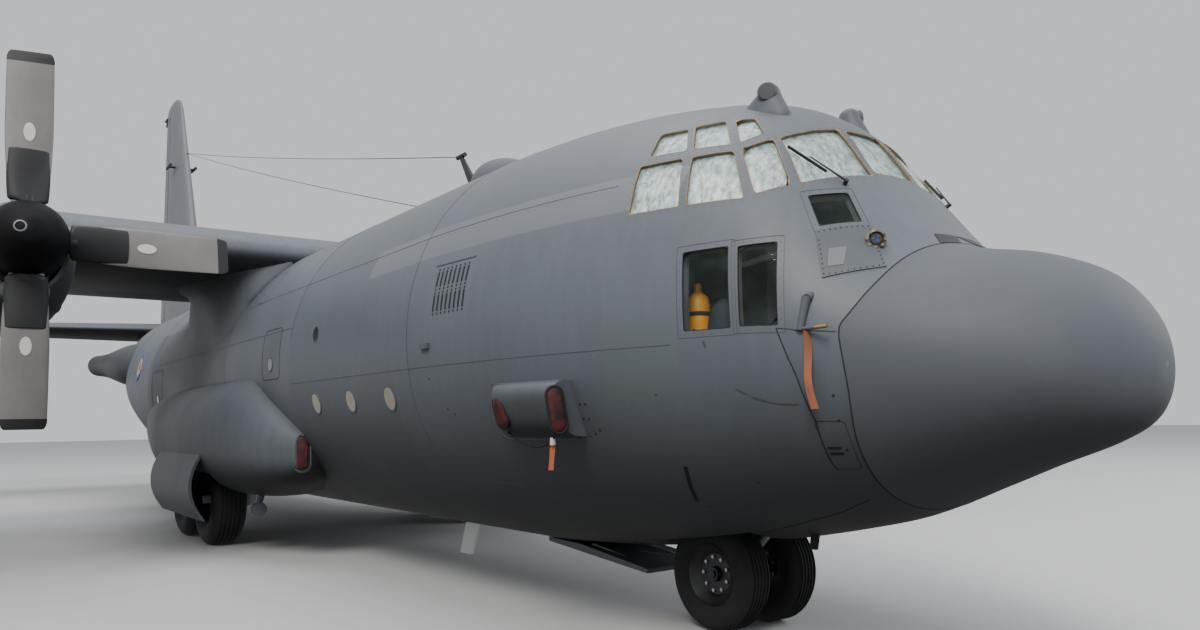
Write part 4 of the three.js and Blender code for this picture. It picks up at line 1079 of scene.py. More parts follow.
def build_windows():
    panes, shades, sealant, trim, bolts, seams = [], [], [], [], [], []
    for corners, radius, look in window_list():
        n = outward_of(corners)
        panes.append(skin_patch(offset_corners(corners, 0.02), -0.007, -0.022))
        if look == "shade":
            shades.append(skin_patch(offset_corners(corners, 0.02), -0.028, -0.036))
        edge = skin_outline(corners, radius, 0.06, n)
        inset = densify(rounded(offset_corners(corners, -0.005), radius), 0.06, True)
        inset = draped(sample(np.concatenate([inset, inset[:1]]), len(edge) + 1)[:-1], n)
        rim = sealant if look == "shade" else trim
        rim.append(skin_frame(edge, inset, 0.001, 0.01))
        middle = skin_outline(offset_corners(corners, 0.022), radius, 0.03, n)
        bolts.append(skin_dots(every(middle, 0.07), 0.005, 0.0015, 6))
        if look == "clear":
            outer = skin_outline(offset_corners(corners, 0.045), radius, 0.08, n)
            seams.append(closed_strip(outer, 0.003))
    glass_pane = to_object("cockpit_panes", panes, "window_glass_look")
    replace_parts(glass_pane, "cockpit_glass")
    to_object("foil_shades", shades, "foil_shade")
    to_object("window_sealant", sealant, "sealant")
    to_object("window_trim", trim, "seam_dark")
    to_object("window_bolts", bolts, "seam_soft")
    to_object("window_seams", seams, "seam_soft")
    build_wipers()


# On the windscreen: both ends of the blade, the arm's joint on it and the pivot, as (distance, height)
WIPER = {"low": (0.71, 3.54), "high": (0.84, 3.76), "joint": (0.77, 3.65), "pivot": (0.63, 3.45)}


def build_wipers():
    for side in SIDES:
        place = {k: front_point(side * x, z) for k, (x, z) in WIPER.items()}
        out = skin_normal(place["joint"])
        lift = out * 0.022
        blade = bar_part(place["low"] + lift, place["high"] + lift, 0.006, sides=8)
        rubber = bar_part(place["low"] + out * 0.01, place["high"] + out * 0.01, 0.007, sides=8)
        arm = bar_part(place["pivot"] + lift * 1.5, place["joint"] + lift * 1.5, 0.009, 0.005, 12)
        post = bar_part(place["pivot"] - lift, place["pivot"] + lift * 1.9, 0.016, sides=20)
        to_object(f"wiper_{side_name(side)}", [blade, arm, post], "dark_metal")
        to_object(f"wiper_rubber_{side_name(side)}", rubber, "rubber_black")


def side_frame(side, places, width=0.005, radius=0.05):
    """A closed seam on one side through corners of (station, height)."""
    corners = side_corners(places, side)
    return closed_strip(skin_outline(corners, radius, 0.08, outward_of(corners)), width)


def side_disc(side, station, height, radius, lift, sides=32):
    """A thin round plate on the skin."""
    p = side_point(station, height, side)
    n = skin_normal(p)
    up = unit(np.array([0, 0, 1.0]) - n * n[2])
    ring = around(np.cross(up, n), up, sides) * radius
    return loft([p + ring - n * 0.02, p + ring + n * lift])


# Seams and rows of fasteners on the hull

# Rings round the hull: station, first and last angle in degrees, width
HULL_RINGS = [(5.79, -40, 220, 0.006), (9.3, 8, 172, 0.008), (12.5, -60, 40, 0.006),
              (15.6, -60, 60, 0.006), (18.2, -40, 220, 0.008), (21.2, 10, 170, 0.006),
              (23.4, 10, 170, 0.006), (26.8, -90, 270, 0.008)]
# Lines along both sides: first and last station, height, width
LONG_SEAMS = [(2.5, 9.3, 2.33, 0.004), (3.2, 11.6, 3.62, 0.003), (9.3, 23.0, 3.05, 0.004),
              (3.6, 11.5, 1.25, 0.004)]
# Hatch beside the nose gear and the lines that meet it: places of (station, height), width
HATCH_LINES = [
    ([(1.753, 2.392), (1.646, 2.083), (1.587, 1.78), (1.602, 1.531), (1.592, 1.464)], 0.008),
    ([(1.753, 2.392), (1.606, 2.369), (1.4, 2.345)], 0.004),
    ([(1.576, 1.25), (1.836, 1.143), (2.244, 1.028), (2.659, 0.919)], 0.006),
]
HATCH = [(1.6, 1.785), (1.42, 1.785), (1.45, 1.475), (1.6, 1.471)]
# Slightly darker runs that were left by water and oil
STAINS = [
    ([(2.666, 1.99), (2.671, 1.694), (2.659, 1.421), (2.706, 1.153)], 0.022),
    ([(3.393, 1.694), (3.428, 1.422), (3.451, 1.136), (3.472, 0.869)], 0.024),
    ([(2.255, 2.338), (2.198, 2.16), (2.062, 1.991), (1.828, 1.896), (1.664, 1.892)], 0.016),
    ([(2.162, 1.371), (2.27, 1.217), (2.485, 1.018)], 0.014),
    ([(5.1, 1.9), (5.16, 1.5), (5.26, 1.15), (5.4, 0.85)], 0.024),
]
# Single fasteners and the row of cabin windows, as (station, height)
SIDE_DOTS = [(3.386, 1.936), (3.333, 1.935), (3.393, 1.824), (3.337, 1.823), (3.324, 1.711), (3.266, 1.738),
             (5.401, 2.217), (5.189, 1.934), (1.445, 1.945), (1.45, 1.788), (1.47, 1.602)]
SMALL_WINDOWS = [(6.34, 2.06), (7.39, 2.06), (8.49, 2.06)]


# Closed seams on both sides: corners of (station, height), width, corner radius
CLOSED_SEAMS = [
    ([(9.72, 2.42), (10.48, 2.42), (10.48, 3.1), (9.72, 3.1)], 0.01, 0.1),
    ([(17.16, 1.04), (18.15, 1.04), (18.15, 2.94), (17.16, 2.94)], 0.008, 0.06),
    (HATCH, 0.003, 0.03),
]
FAINT_SEAMS = [
    ([(8.2, 1.25), (8.5, 1.25), (8.5, 1.45), (8.2, 1.45)], 0.004, 0.03),
    ([(11.2, 3.6), (12.4, 3.6), (12.4, 4.1), (11.2, 4.1)], 0.004, 0.05),
]
# Openings too small to cut, drawn as black strips of painted shade: both ends, width, distance between points
SLOTS = [
    ([(2.64, 1.47), (2.76, 1.2)], 0.03, 0.03),
    ([(1.5, 1.611), (1.58, 1.611)], 0.018, 0.02),
    ([(1.5, 1.575), (1.58, 1.575)], 0.018, 0.02),
]


def build_hull_lines():
    """Faint joints round and along the hull with their rows of fasteners, and two faint frames on each side.
    """
    lines, dots = [], []
    for station, first, last, width in HULL_RINGS:
        path = ring_path(station, first, last, 90)
        lines.append(skin_strip(path, width))
        dots.append(skin_dots(every(path + [0, 0.05, 0], 0.12), 0.006, 0.0015, 5))
    for first, last, height, width in LONG_SEAMS:
        for side in SIDES:
            lines.append(skin_strip(side_path(side, [(first, height), (last, height)]), width))
            lap = side_path(side, [(first, height - 0.035), (last, height - 0.035)])
            dots.append(skin_dots(every(lap, 0.085), 0.006, 0.0015, 5))
    for side in SIDES:
        lines += [side_frame(side, *seam) for seam in FAINT_SEAMS]
    to_object("hull_lines", lines, "seam_soft")
    to_object("hull_fasteners", dots, "seam_soft")


def build_hull_seams():
    """Dark seams round openings, small slots drawn as painted shade, and the runs of dirt below them."""
    seams, slots, stains = [closed_strip(radome_path(), 0.009)], [], []
    for side in SIDES:
        seams += [side_frame(side, *seam) for seam in CLOSED_SEAMS]
        seams += [skin_strip(side_path(side, places, 0.05), width) for places, width in HATCH_LINES]
        slots += [skin_strip(side_path(side, ends, step), width, 0.003) for ends, width, step in SLOTS]
        for places, width in STAINS:
            stains.append(skin_strip(curve_through(side_path(side, places, 0.3), 26), width, 0.0012))
    to_object("hull_seams", seams, "seam_dark")
    to_object("hull_slots", slots, "rubber_black")
    to_object("hull_stains", stains, "stain_paint")


def build_small_windows():
    rims, panes, ports = [], [], []
    for side in SIDES:
        for station, height in SMALL_WINDOWS:
            rims.append(side_disc(side, station, height, 0.135, 0.004))
            panes.append(side_disc(side, station, height, 0.118, 0.0065))
        for station, height in ((8.37, 2.89), (10.1, 2.62), (17.6, 2.35)):
            rims.append(side_disc(side, station, height, 0.1, 0.004))
            ports.append(side_disc(side, station, height, 0.082, 0.0065))
    to_object("window_rims", rims, "panel_paint")
    to_object("cabin_windows", panes, "amber_pane")
    to_object("door_windows", ports, "dark_pane")


def build_louvres():
    """Two rows of upright slots, drawn as dark strips of painted shade, with their fasteners behind the
    starboard windows.
    """
    side = STARBOARD
    slots = []
    for low, high in ((2.8, 3.0), (3.03, 3.22)):
        for s in np.linspace(4.78, 5.28, 8):
            # Each slot is a dark strip: painted shade in the louvre's opening
            slots.append(skin_strip(side_path(side, [(s, low + 0.03), (s, high - 0.02)], 0.04), 0.022, 0.004))
            slots += [side_disc(side, s, z, 0.01, 0.004, 8) for z in (low + 0.005, high)]
    slots += [side_disc(side, s, z, 0.009, 0.003, 10) for s, z in SIDE_DOTS]
    trim = [skin_strip(side_path(side, [(4.7, 3.27), (5.36, 3.27)], 0.05), 0.012, 0.006),
            skin_strip(side_path(side, [(5.33, 2.52), (5.47, 2.52)], 0.03), 0.05, 0.03)]
    to_object("louvre_slots", slots, "seam_dark")
    to_object("louvre_trim", trim, "panel_paint")


# Fittings of the nose

def build_nose_panels():
    """A bolted panel with a small plate on each side of the nose, and a dark inlet on top of it."""
    for side in SIDES:
        name = side_name(side)
        corners = side_corners([(1.68, 3.05), (1.505, 3.1), (1.26, 2.765), (1.535, 2.705)], side)
        to_object(f"nose_panel_{name}", skin_patch(corners, 0.008, -0.02, 14), "panel_paint")
        bolts = skin_outline(offset_corners(corners, -0.014), 0.02, 0.02, outward_of(corners), 0.008)
        to_object(f"nose_panel_bolts_{name}", skin_dots(every(bolts, 0.04), 0.0055, 0.004, 8), "seam_dark")
        plate = side_corners([(1.57, 2.91), (1.5, 2.92), (1.46, 2.79), (1.53, 2.78)], side)
        to_object(f"nose_plate_{name}", skin_patch(plate, 0.011, -0.01, 8), "light_panel")
        places = ((0.25, 1.315), (0.34, 1.215), (0.13, 1.195), (0.002, 1.3))
        inlet = np.array([roof_point(side * x, s) for x, s in places])
        to_object(f"nose_inlet_{name}", skin_patch(inlet, 0.005, -0.02, 10), "dark_metal")


def build_nose_sensor():
    """A round sensor head on the starboard brow, with eight screws round its lens."""
    sensor = side_point(1.415, 2.971, STARBOARD)
    out = unit([-0.75, -0.65, 0.1])
    body = [(0.06, -0.08), (0.06, 0.02), (0.066, 0.024), (0.066, 0.05), (0.05, 0.056), (0.044, 0.04),
            (0.0, 0.036)]
    head = [lathe_part(body, sensor, out, 40)]
    up = unit(np.cross(out, [0, 1, 0]))
    across = np.cross(out, up)
    for place in sensor + 0.058 * around(up, across, 8):
        head.append(bar_part(place + out * 0.02, place + out * 0.062, 0.011, sides=10))
    to_object("nose_sensor", head, "sensor_bronze")
    lens = [(0.042, 0.0), (0.042, 0.046), (0.034, 0.054), (0.0, 0.054)]
    to_object("nose_sensor_lens", lathe_part(lens, sensor, out, 32), "dark_pane")
    eyes = []
    for a, b, radius in ((12, 8, 13), (-16, 12, 8), (-2, -20, 9), (20, -14, 6)):
        place = sensor + (a * up + b * across) / 1000
        eyes.append(bar_part(place + out * 0.05, place + out * 0.057, radius / 1000, sides=16))
    to_object("nose_sensor_eyes", eyes, "lens_blue")


def build_pitot(side):
    """A probe on a bent stalk beside the nose, with the streamer of its cover."""
    name = side_name(side)
    foot = np.array([side * 1.335, 1.6, 2.374])
    bend = np.array([side * 1.3, 1.57, 2.57])
    root = side_point(1.57, 2.6, side)
    tube_end = foot - [0, 0.12, 0]
    stalk = [
        bar_part(root - skin_normal(root) * 0.02, bend, 0.03),
        bar_part(bend + [0, 0, 0.012], foot - [0, 0, 0.008], 0.03, 0.024),
        bar_part(foot + [0, 0.06, 0], tube_end, 0.013),
    ]
    to_object(f"pitot_{name}", stalk, "panel_paint")
    to_object(f"pitot_tip_{name}", bar_part(tube_end, foot - [0, 0.215, 0], 0.012, 0.011), "brass")
    clip = bar_part(foot + [0, 0.06, 0], foot + [0, 0.11, -0.01], 0.014, 0.01)
    to_object(f"pitot_clip_{name}", clip, "rubber_black")
    length, width = 0.5, 0.05
    ribbon = ribbon_part(foot + [0, -0.045, -0.011], length, width, 0.05, side)
    streamer = to_object(f"pitot_streamer_{name}", ribbon, "ribbon_tan")


def ribbon_part(top, length, width, sway, side=STARBOARD, lean=(0.0, 0.0)):
    """A hanging strip of webbing that twists a little on its way down, its face outwards and forwards."""
    t = np.linspace(0, 1, 40)
    x = 0.3 * sway * np.sin(2.2 * math.pi * t) + lean[0] * t
    path = np.asarray(top, float) + np.stack([x, lean[1] * t - sway * t * t, -length * t], 1)
    turn = 0.85 - 0.5 * np.sin(2.5 * t)
    across = np.stack([side * np.sin(turn), np.cos(turn), 0 * t], 1)
    face = np.stack([np.cos(turn), -side * np.sin(turn), 0 * t], 1)
    taper = (0.55 + 0.45 * np.minimum(1, 6 * t))[:, None]
    a, b = across * width / 2 * taper, face * 0.0015
    return swept(np.stack([path - a + b, path + a + b, path + a - b, path - a - b], 1))


def build_roof_sensors():
    """Two cone-shaped sensor housings, each with a dark round disc that looks out to its side."""
    heights = np.concatenate([np.linspace(4.02, 4.36, 12), 4.36 + 0.088 * np.sin(np.linspace(0.15, 1.5, 9))])
    for side in SIDES:
        name = side_name(side)
        rings = []
        for z in heights:
            spread = min(1, max(0, (4.375 - z) / 0.2)) ** 1.15
            close = math.sqrt(max(0.02, 1 - (max(0, z - 4.36) / 0.09) ** 2))
            across, along = (0.085 + 0.06 * spread) * close, (0.095 + 0.26 * spread) * close
            rings.append(level_ring(side * 0.5, 2.56 + 0.15 * spread, z, across, along, 40))
        to_object(f"roof_sensor_{name}", loft(rings), "pod_paint")
        middle, out = [side * 0.5, 2.57, 4.355], [side * 0.8, -0.6, 0.05]
        head = [(0.0, -0.02), (0.076, -0.02), (0.078, 0.1), (0.07, 0.106), (0.0, 0.106)]
        to_object(f"roof_sensor_head_{name}", lathe_part(head, middle, out, 40), "pod_paint")
        disc = [(0.066, 0.1), (0.066, 0.112), (0.0, 0.113)]
        to_object(f"roof_sensor_disc_{name}", lathe_part(disc, middle, out, 32), "dark_metal")


def build_roof_dome():
    profile = smooth_profile([(0.47, -0.1), (0.47, 0.0), (0.45, 0.14), (0.36, 0.28), (0.2, 0.37), (0.0, 0.4)])
    shell = lathe_part(profile, [0, 7.43, 4.72], [0, 0, 1], 64)
    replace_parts(to_object("roof_dome_shell", shell, "radome_paint"), "roof_dome")


def build_roof_mast():
    """A mast that leans back and narrows, with a short bar across its top."""
    rings = []
    for t in np.linspace(0, 1, 8):
        half = 0.055 * (1 - t) + 0.02 * t
        rings.append(level_ring(0, 8.0 + 0.64 * t, 4.6 + 0.86 * t, half, 2.6 * half, 24))
    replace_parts(to_object("roof_mast_pole", loft(rings), "dark_metal"), "roof_mast")
    to_object("roof_mast_head", bar_part([0, 8.52, 5.46], [0, 8.74, 5.46], 0.03), "dark_metal")


def build_antennas():
    """A plain blade below the belly and two taut wires from the roof to the fin."""
    outline = [[-0.3, 7.6, 0.63], [-0.3, 7.97, 0.63], [-0.3, 8.17, 0.15], [-0.3, 7.88, 0.15]]
    blade = prism_part(outline, [1, 0, 0], 0.035)
    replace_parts(to_object("belly_blade", blade, "marking_white"), "belly_antenna")
    fin_end = np.array([0.0, 25.37, 9.7])
    for i, start in enumerate(([0, 8.72, 5.47], [0, 8.9, 4.72])):
        t = np.linspace(0, 1, 24)[:, None]
        path = np.array(start) * (1 - t) + fin_end * t
        path[:, 2] -= 0.08 * (4 * t * (1 - t))[:, 0]
        to_object(f"antenna_wire_{i + 1}", sweep_part(path, 0.006, 6), "seam_dark")


# Air scoop on the starboard side

def build_scoop():
    """A rounded housing that stands off the skin, on a plate with a light edge."""
    fore, aft, low, high, stand = 3.42, 4.28, 1.69, 2.12, 0.24
    a = np.linspace(-math.pi / 2, math.pi / 2, 20)
    z = (low + high) / 2 + (high - low) / 2 * np.sign(np.sin(a)) * np.abs(np.sin(a)) ** 0.55
    sections = []
    for s in np.linspace(fore, aft, 15):
        t = (s - fore) / (aft - fore)
        ends = min(1.0, 0.7 + 6.0 * t, 0.12 + 4.0 * (1 - t))
        skin = onto_side(np.stack([0 * z, np.full(20, s), z], 1), STARBOARD)
        outer = skin - np.outer(stand * ends**0.5 * np.abs(np.cos(a)) ** 0.55, [1, 0, 0])
        sections.append(np.concatenate([outer, skin[::-1] + [0.04, 0, 0]]))
    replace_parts(to_object("scoop_body", swept(sections), "pod_paint", sharp=50), "air_scoop")
    corners = side_corners([(4.47, 1.67), (3.5, 1.67), (3.49, 2.13), (4.4, 2.13)], STARBOARD)
    to_object("scoop_plate", skin_patch(corners, 0.005, -0.02, 16), "pod_paint")
    border = skin_outline(corners, 0.1, 0.06, outward_of(corners))
    to_object("scoop_plate_edge", closed_strip(border, 0.006, 0.007), "light_panel")


# Padded covers in the scoop's openings: middle, direction they face, upwards, half width, half height
SCOOP_COVERS = {
    "fore": ([-1.996, 3.412, 1.894], [-0.35, -1.0, 0.0], [-0.16, 0.0, 1.0], 0.062, 0.175),
    "aft": ([-2.1, 4.045, 1.885], [-1.0, -0.1, -0.2], [-0.2, 0.12, 1.0], 0.07, 0.13),
}


def build_scoop_covers():
    for name, (middle, out, up, half, tall) in SCOOP_COVERS.items():
        out = unit(out)
        up = unit(np.array(up) - out * (np.array(up) @ out))
        t = angles_round(40)
        pill = np.outer(np.cos(t) * half, np.cross(up, out))
        pill += np.outer(np.sin(t) * half + np.sign(np.sin(t)) * (tall - half), up)
        cushion = ((1.0, -0.05), (1.0, 0.012), (0.9, 0.026), (0.6, 0.034))
        rings = [middle + pill * size + out * lift for size, lift in cushion]
        to_object(f"scoop_cover_{name}", loft(rings), "cover_red", sharp=60)
        edge = tube_loop(middle + pill * 1.02 + out * 0.01, 0.013)
        to_object(f"scoop_cover_edge_{name}", edge, "rubber_black")


def build_scoop_cord():
    """The cord between both covers, with a tag and a streamer near its fore end."""
    places = [[-2.02, 4.08, 1.725], [-1.96, 3.93, 1.63], [-1.93, 3.78, 1.6], [-1.93, 3.6, 1.64],
              [-1.96, 3.44, 1.735]]
    cable = curve_through(places, 40)
    line = to_object("scoop_cord", sweep_part(cable, 0.009, 10), "rubber_black")
    place = cable[32]
    tag = bar_part(place + [0, 0, 0.012], place - [0, 0, 0.045], 0.02, 0.024, 12)
    to_object("scoop_tag", tag, "marking_white")
    ribbon = ribbon_part(place - [0, 0, 0.04], 0.2, 0.045, 0.0, lean=(0.02, 0.06))
    streamer = to_object("scoop_streamer", ribbon, "ribbon_orange")


def tube_loop(points, radius):
    """A round line of eight sides along a closed loop of points."""
    p = np.asarray(points, float)
    along = unit(np.roll(p, -1, axis=0) - np.roll(p, 1, axis=0))
    u = p - p.mean(0)
    u = unit(u - along * (u * along).sum(1, keepdims=True))
    t = angles_round(8)[None, :, None]
    v = np.cross(along, u)
    return swept(p[:, None] + radius * (np.cos(t) * u[:, None] + np.sin(t) * v[:, None]), True)


# Wings and tail

DIHEDRAL = math.tan(math.radians(2.5))
WING_JOINT, WING_HEIGHT, HALF_SPAN = 5.59, 4.5, 20.205


def wing_rise(span):
    return WING_HEIGHT + DIHEDRAL * (span - WING_JOINT)


# Rows of span, leading edge, chord, height of the leading edge, thickness ratio, incidence
WING = {"camber": 0.02, "rows": np.array([
    [0, 11.8, 4.88, WING_HEIGHT, 0.18, 3],
    [WING_JOINT, 11.8, 4.88, WING_HEIGHT, 0.18, 3],
    [19.7, 12.53, 2.52, wing_rise(19.7), 0.12, 0],
    [20.04, 12.64, 2.28, wing_rise(20.04), 0.11, 0],
    [HALF_SPAN, 12.96, 1.6, wing_rise(HALF_SPAN) - 0.02, 0.06, 0],
])}
TAILPLANE = {"camber": 0.0, "rows": np.array([
    [0, 25.0, 4.1, 4.53, 0.12, 0],
    [7.7, 26.92, 2.18, 4.53, 0.1, 0],
    [8.025, 27.35, 1.5, 4.53, 0.06, 0],
])}
FIN = {"camber": 0.0, "rows": np.array([
    [4.3, 23.13, 5.65, 0, 0.12, 0],
    [7.1, 24.3, 4.23, 0, 0.12, 0],
    [11.2, 25.98, 2.06, 0, 0.11, 0],
    [11.52, 26.18, 1.8, 0, 0.1, 0],
    [11.66, 26.62, 1.24, 0, 0.06, 0],
])}
# Hinge lines as parts of the chord, or as stations, with the spans of what moves and of its pads
FLAP_FRACTION, AILERON_FRACTION = 0.73, 0.77
FLAPS = {"inner": (2.2, 5.56), "outer": (5.64, 12.86)}
FLAP_RIBS = {"inner": (2.9, 4.6), "outer": (7.6, 11.4)}
AILERON, AILERON_RIBS = (13.1, 19.45), (14.2, 16.3, 18.4)
ELEVATOR, ELEVATOR_HINGE, ELEVATOR_RIBS = (0.96, 7.56), 27.85, (1.9, 4.3, 6.7)
RUDDER, RUDDER_HINGE, RUDDER_RIBS = (5.06, 11.18), 27.2, (5.9, 8.0, 10.2)
FOIL_POINTS = 34


def foil_row(foil, span):
    rows = foil["rows"]
    return np.array([np.interp(span, rows[:, 0], rows[:, i]) for i in range(6)])


def foil_half(x):
    """Half the thickness of a foil at a part of its chord, over thickness ratio and chord."""
    return 5 * (0.2969 * np.sqrt(x) - 0.126 * x - 0.3516 * x**2 + 0.2843 * x**3 - 0.1036 * x**4)


def foil_place(foil, row, x, offset):
    """Station and height at a part of the chord, offset from the middle line."""
    _, lead, chord, height, _, incidence = row
    tilt = math.radians(incidence)
    up = foil["camber"] * chord * 4 * x * (1 - x) + offset
    station = lead + x * chord * math.cos(tilt) + up * math.sin(tilt)
    return station, height - x * chord * math.sin(tilt) + up * math.cos(tilt)


def foil_ring(foil, span, place):
    """A foil's section at one span, round from the trailing edge."""
    row = foil_row(foil, span)
    x = (1 + np.cos(np.linspace(0, math.pi, FOIL_POINTS))) / 2
    half = foil_half(x) * row[4] * row[2]
    upper = foil_place(foil, row, x, half)
    lower = foil_place(foil, row, x[::-1][1:-1], -half[::-1][1:-1])
    station, level = np.concatenate([upper[0], lower[0]]), np.concatenate([upper[1], lower[1]])
    return place(span, station, level)


def foil_block(foil, first, last, place):
    """The solid foil between two spans, rounded where it reaches its tip."""
    rows = foil["rows"][:, 0]
    spans = [first, *[s for s in rows if first + 1e-3 < s < last - 1e-3], last]
    if last >= rows[-1] - 1e-6:
        curve = np.linspace(0, math.pi / 2, 6)
        spans = [s for s in spans if s <= rows[-3] + 1e-6]
        spans += list(rows[-3] + (rows[-1] - rows[-3]) * np.sin(curve[1:]))
    return loft([foil_ring(foil, s, place) for s in spans])


def across_to(side):
    """How a wing's or tailplane's span, station and height become a place."""
    return lambda span, station, level: np.stack(np.broadcast_arrays(side * span, station, level), -1)


def upright(span, station, level):
    """How the fin's span, station and level become a place."""
    return np.stack(np.broadcast_arrays(level, station, span), -1)


def foil_line(foil, spans, fraction=None, station=None):
    """Span, station, level and nose radius at both ends of a straight line along a foil."""
    ends = []
    for span in spans:
        row = foil_row(foil, span)
        s = foil_place(foil, row, fraction, 0)[0] if station is None else station
        x = (s - row[1]) / row[2]
        ends.append((span, s, foil_place(foil, row, x, 0)[1], foil_half(x) * row[4] * row[2] * 0.96))
    return np.array(ends, float)


def line_at(line, span):
    t = (span - line[0, 0]) / (line[1, 0] - line[0, 0])
    return line[0] + (line[1] - line[0]) * t


def foil_box(place, spans, stations, levels):
    rings = []
    for span, (fore, aft), (low, high) in zip(spans, stations, levels):
        rings.append([place(span, s, z) for s, z in ((fore, low), (aft, low), (aft, high), (fore, high))])
    return loft(rings)


def space_behind(line, place, shift, margin):
    """A block that takes in everything behind a hinge line, shifted aft or forward."""
    (a, sa, za, _), (b, sb, zb, _) = line
    stations = [(sa + shift, sa + 6), (sb + shift, sb + 6)]
    return foil_box(place, (a - margin, b + margin), stations, [(za - 0.8, za + 0.8), (zb - 0.8, zb + 0.8)])


def rib_part(line, place, span, reach):
    """A pad at the rear of a foil that reaches to what moves behind it."""
    _, station, level, radius = line_at(line, span)
    fore = station - line[:, 3].max() - 0.28
    return foil_box(place, (span - 0.035, span + 0.035), [(fore, station + reach(radius))] * 2,
                    [(level - radius / 2, level + radius / 2)] * 2)


def build_surface(name, foil, place, line, material):
    """A control surface with a round nose on its hinge line; its body and its node have its name."""
    (a, sa, za, ra), (b, sb, zb, rb) = line
    surface = raw(f"{name}_skin", foil_block(foil, a - 0.06, b + 0.06, place))
    cut(surface, space_behind(line, place, 0, 0), "INTERSECT")
    finished(surface, material, name)
    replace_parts(surface, name)
    to_object(f"{name}_nose", bar_part(place(a, sa, za), place(b, sb, zb), ra, rb, 40), material, name)


def nose_pads(line, place, spans):
    """Pads that end at a control surface's nose."""
    return [rib_part(line, place, s, lambda radius: -radius - 0.001) for s in spans]


def flap_pads(line, place, spans):
    """Pads that reach to just before a flap."""
    return [rib_part(line, place, s, lambda radius: MOVE_GAP - 0.001) for s in spans]


def build_wings():
    """The middle of the wing, which both inner flaps reach into, and the wings beside it."""
    ends = [foil_ring(WING, s, across_to(PORT)) for s in (-WING_JOINT, WING_JOINT)]
    middle = raw("wing_middle", loft(ends))
    for side in SIDES:
        place = across_to(side)
        line = foil_line(WING, (FLAPS["inner"][0], WING_JOINT + 0.02), FLAP_FRACTION)
        cut(middle, space_behind(line, place, 0, MOVE_GAP))
    finished(middle, "wing_paint")
    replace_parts(middle, "wing_centre")
    for side in SIDES:
        build_wing(side)


def build_wing(side):
    name = side_name(side)
    place = across_to(side)
    wing = raw(f"wing_{name}_skin", foil_block(WING, WING_JOINT + 0.001, HALF_SPAN, place))
    flap = foil_line(WING, (WING_JOINT - 0.02, FLAPS["outer"][1]), FLAP_FRACTION)
    aileron = foil_line(WING, AILERON, AILERON_FRACTION)
    cut(wing, space_behind(flap, place, 0, 0.04))
    cut(wing, space_behind(aileron, place, -aileron[:, 3].max() - MOVE_GAP, 0.04))
    finished(wing, "wing_paint")
    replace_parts(wing, f"wing_{name}")
    inner = foil_line(WING, FLAPS["inner"], FLAP_FRACTION)
    pads = nose_pads(aileron, place, AILERON_RIBS) + flap_pads(flap, place, FLAP_RIBS["outer"])
    pads += flap_pads(inner, place, FLAP_RIBS["inner"])
    to_object(f"wing_pads_{name}", pads, "dark_metal")
    build_surface(f"aileron_{name}", WING, place, aileron, "wing_paint")
    for part, spans in FLAPS.items():
        line = foil_line(WING, spans, FLAP_FRACTION)
        body = f"flap_{part}_{name}"
        leaf = raw(f"{body}_skin", foil_block(WING, spans[0] - 0.06, spans[1] + 0.06, place))
        cut(leaf, space_behind(line, place, MOVE_GAP, 0), "INTERSECT")
        finished(leaf, "wing_paint", body)
        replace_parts(leaf, body)
    seams = [foil_seam(WING, place, span, 0.012) for span in (5.6, 8.4, 11.8, 13.0, 15.2, 17.4)]
    to_object(f"wing_seams_{name}", seams, "seam_soft")


def foil_seam(foil, place, span, width):
    """A thin line round the front of a foil."""
    row = foil_row(foil, span)
    behind = np.linspace(0.7, 0.02, 24)
    x = np.concatenate([behind, [0.008, 0, 0.008], behind[::-1]])
    sign = np.concatenate([np.ones(25), [0], -np.ones(25)])
    half = foil_half(x) * row[4] * row[2]
    lift = 0.0015
    sections = []
    for xi, hi, si in zip(x, half, sign):
        inner = foil_place(foil, row, xi, si * (hi - 0.01))
        outer = foil_place(foil, row, xi - (lift / row[2] if si == 0 else 0), si * (hi + lift))
        ends = ((-1, outer), (1, outer), (1, inner), (-1, inner))
        sections.append([place(span + d * width / 2, *p) for d, p in ends])
    return swept(sections)


# Hollow curve from the hull to the wing's underside: station, drop down the hull, reach along the wing
WING_ROOT = np.array([
    [11.86, 0.12, 0.09],
    [12.05, 0.48, 0.42],
    [12.5, 0.75, 0.78],
    [13.3, 0.95, 1.0],
    [14.4, 0.9, 0.85],
    [15.25, 0.8, 0.56],
    [16.0, 0.6, 0.38],
    [16.6, 0.08, 0.06],
])
ROOT_BEND = np.array([[0, 0], [0.04, 0.25], [0.1, 0.45], [0.22, 0.67], [0.4, 0.85], [0.68, 0.96], [1, 1]])


def build_wing_root():
    """The hollow curves between the hull's sides and the wing's underside."""
    row = foil_row(WING, 0)
    stations = np.linspace(WING_ROOT[0, 0], WING_ROOT[-1, 0], 44)
    drops, reaches = smooth_rows(WING_ROOT, stations).T
    for side in SIDES:
        sections = []
        for s, drop, reach in zip(stations, drops, reaches):
            x = (s - row[1]) / row[2]
            top = foil_place(WING, row, x, -foil_half(x) * row[4] * row[2])[1]
            foot = abs(side_point(s, top - drop, side)[0])
            far = abs(side_point(s, top, side)[0]) + reach
            curve = [[foot + (far - foot) * out, top - drop * (1 - up)] for out, up in ROOT_BEND]
            outline = [[foot - 0.1, top - drop], *curve, [far, top + 0.03], [foot - 0.1, top + 0.03]]
            sections.append([[side * x, s, z] for x, z in outline])
        to_object(f"wing_root_{side_name(side)}", swept(sections), "wing_paint", sharp=60)


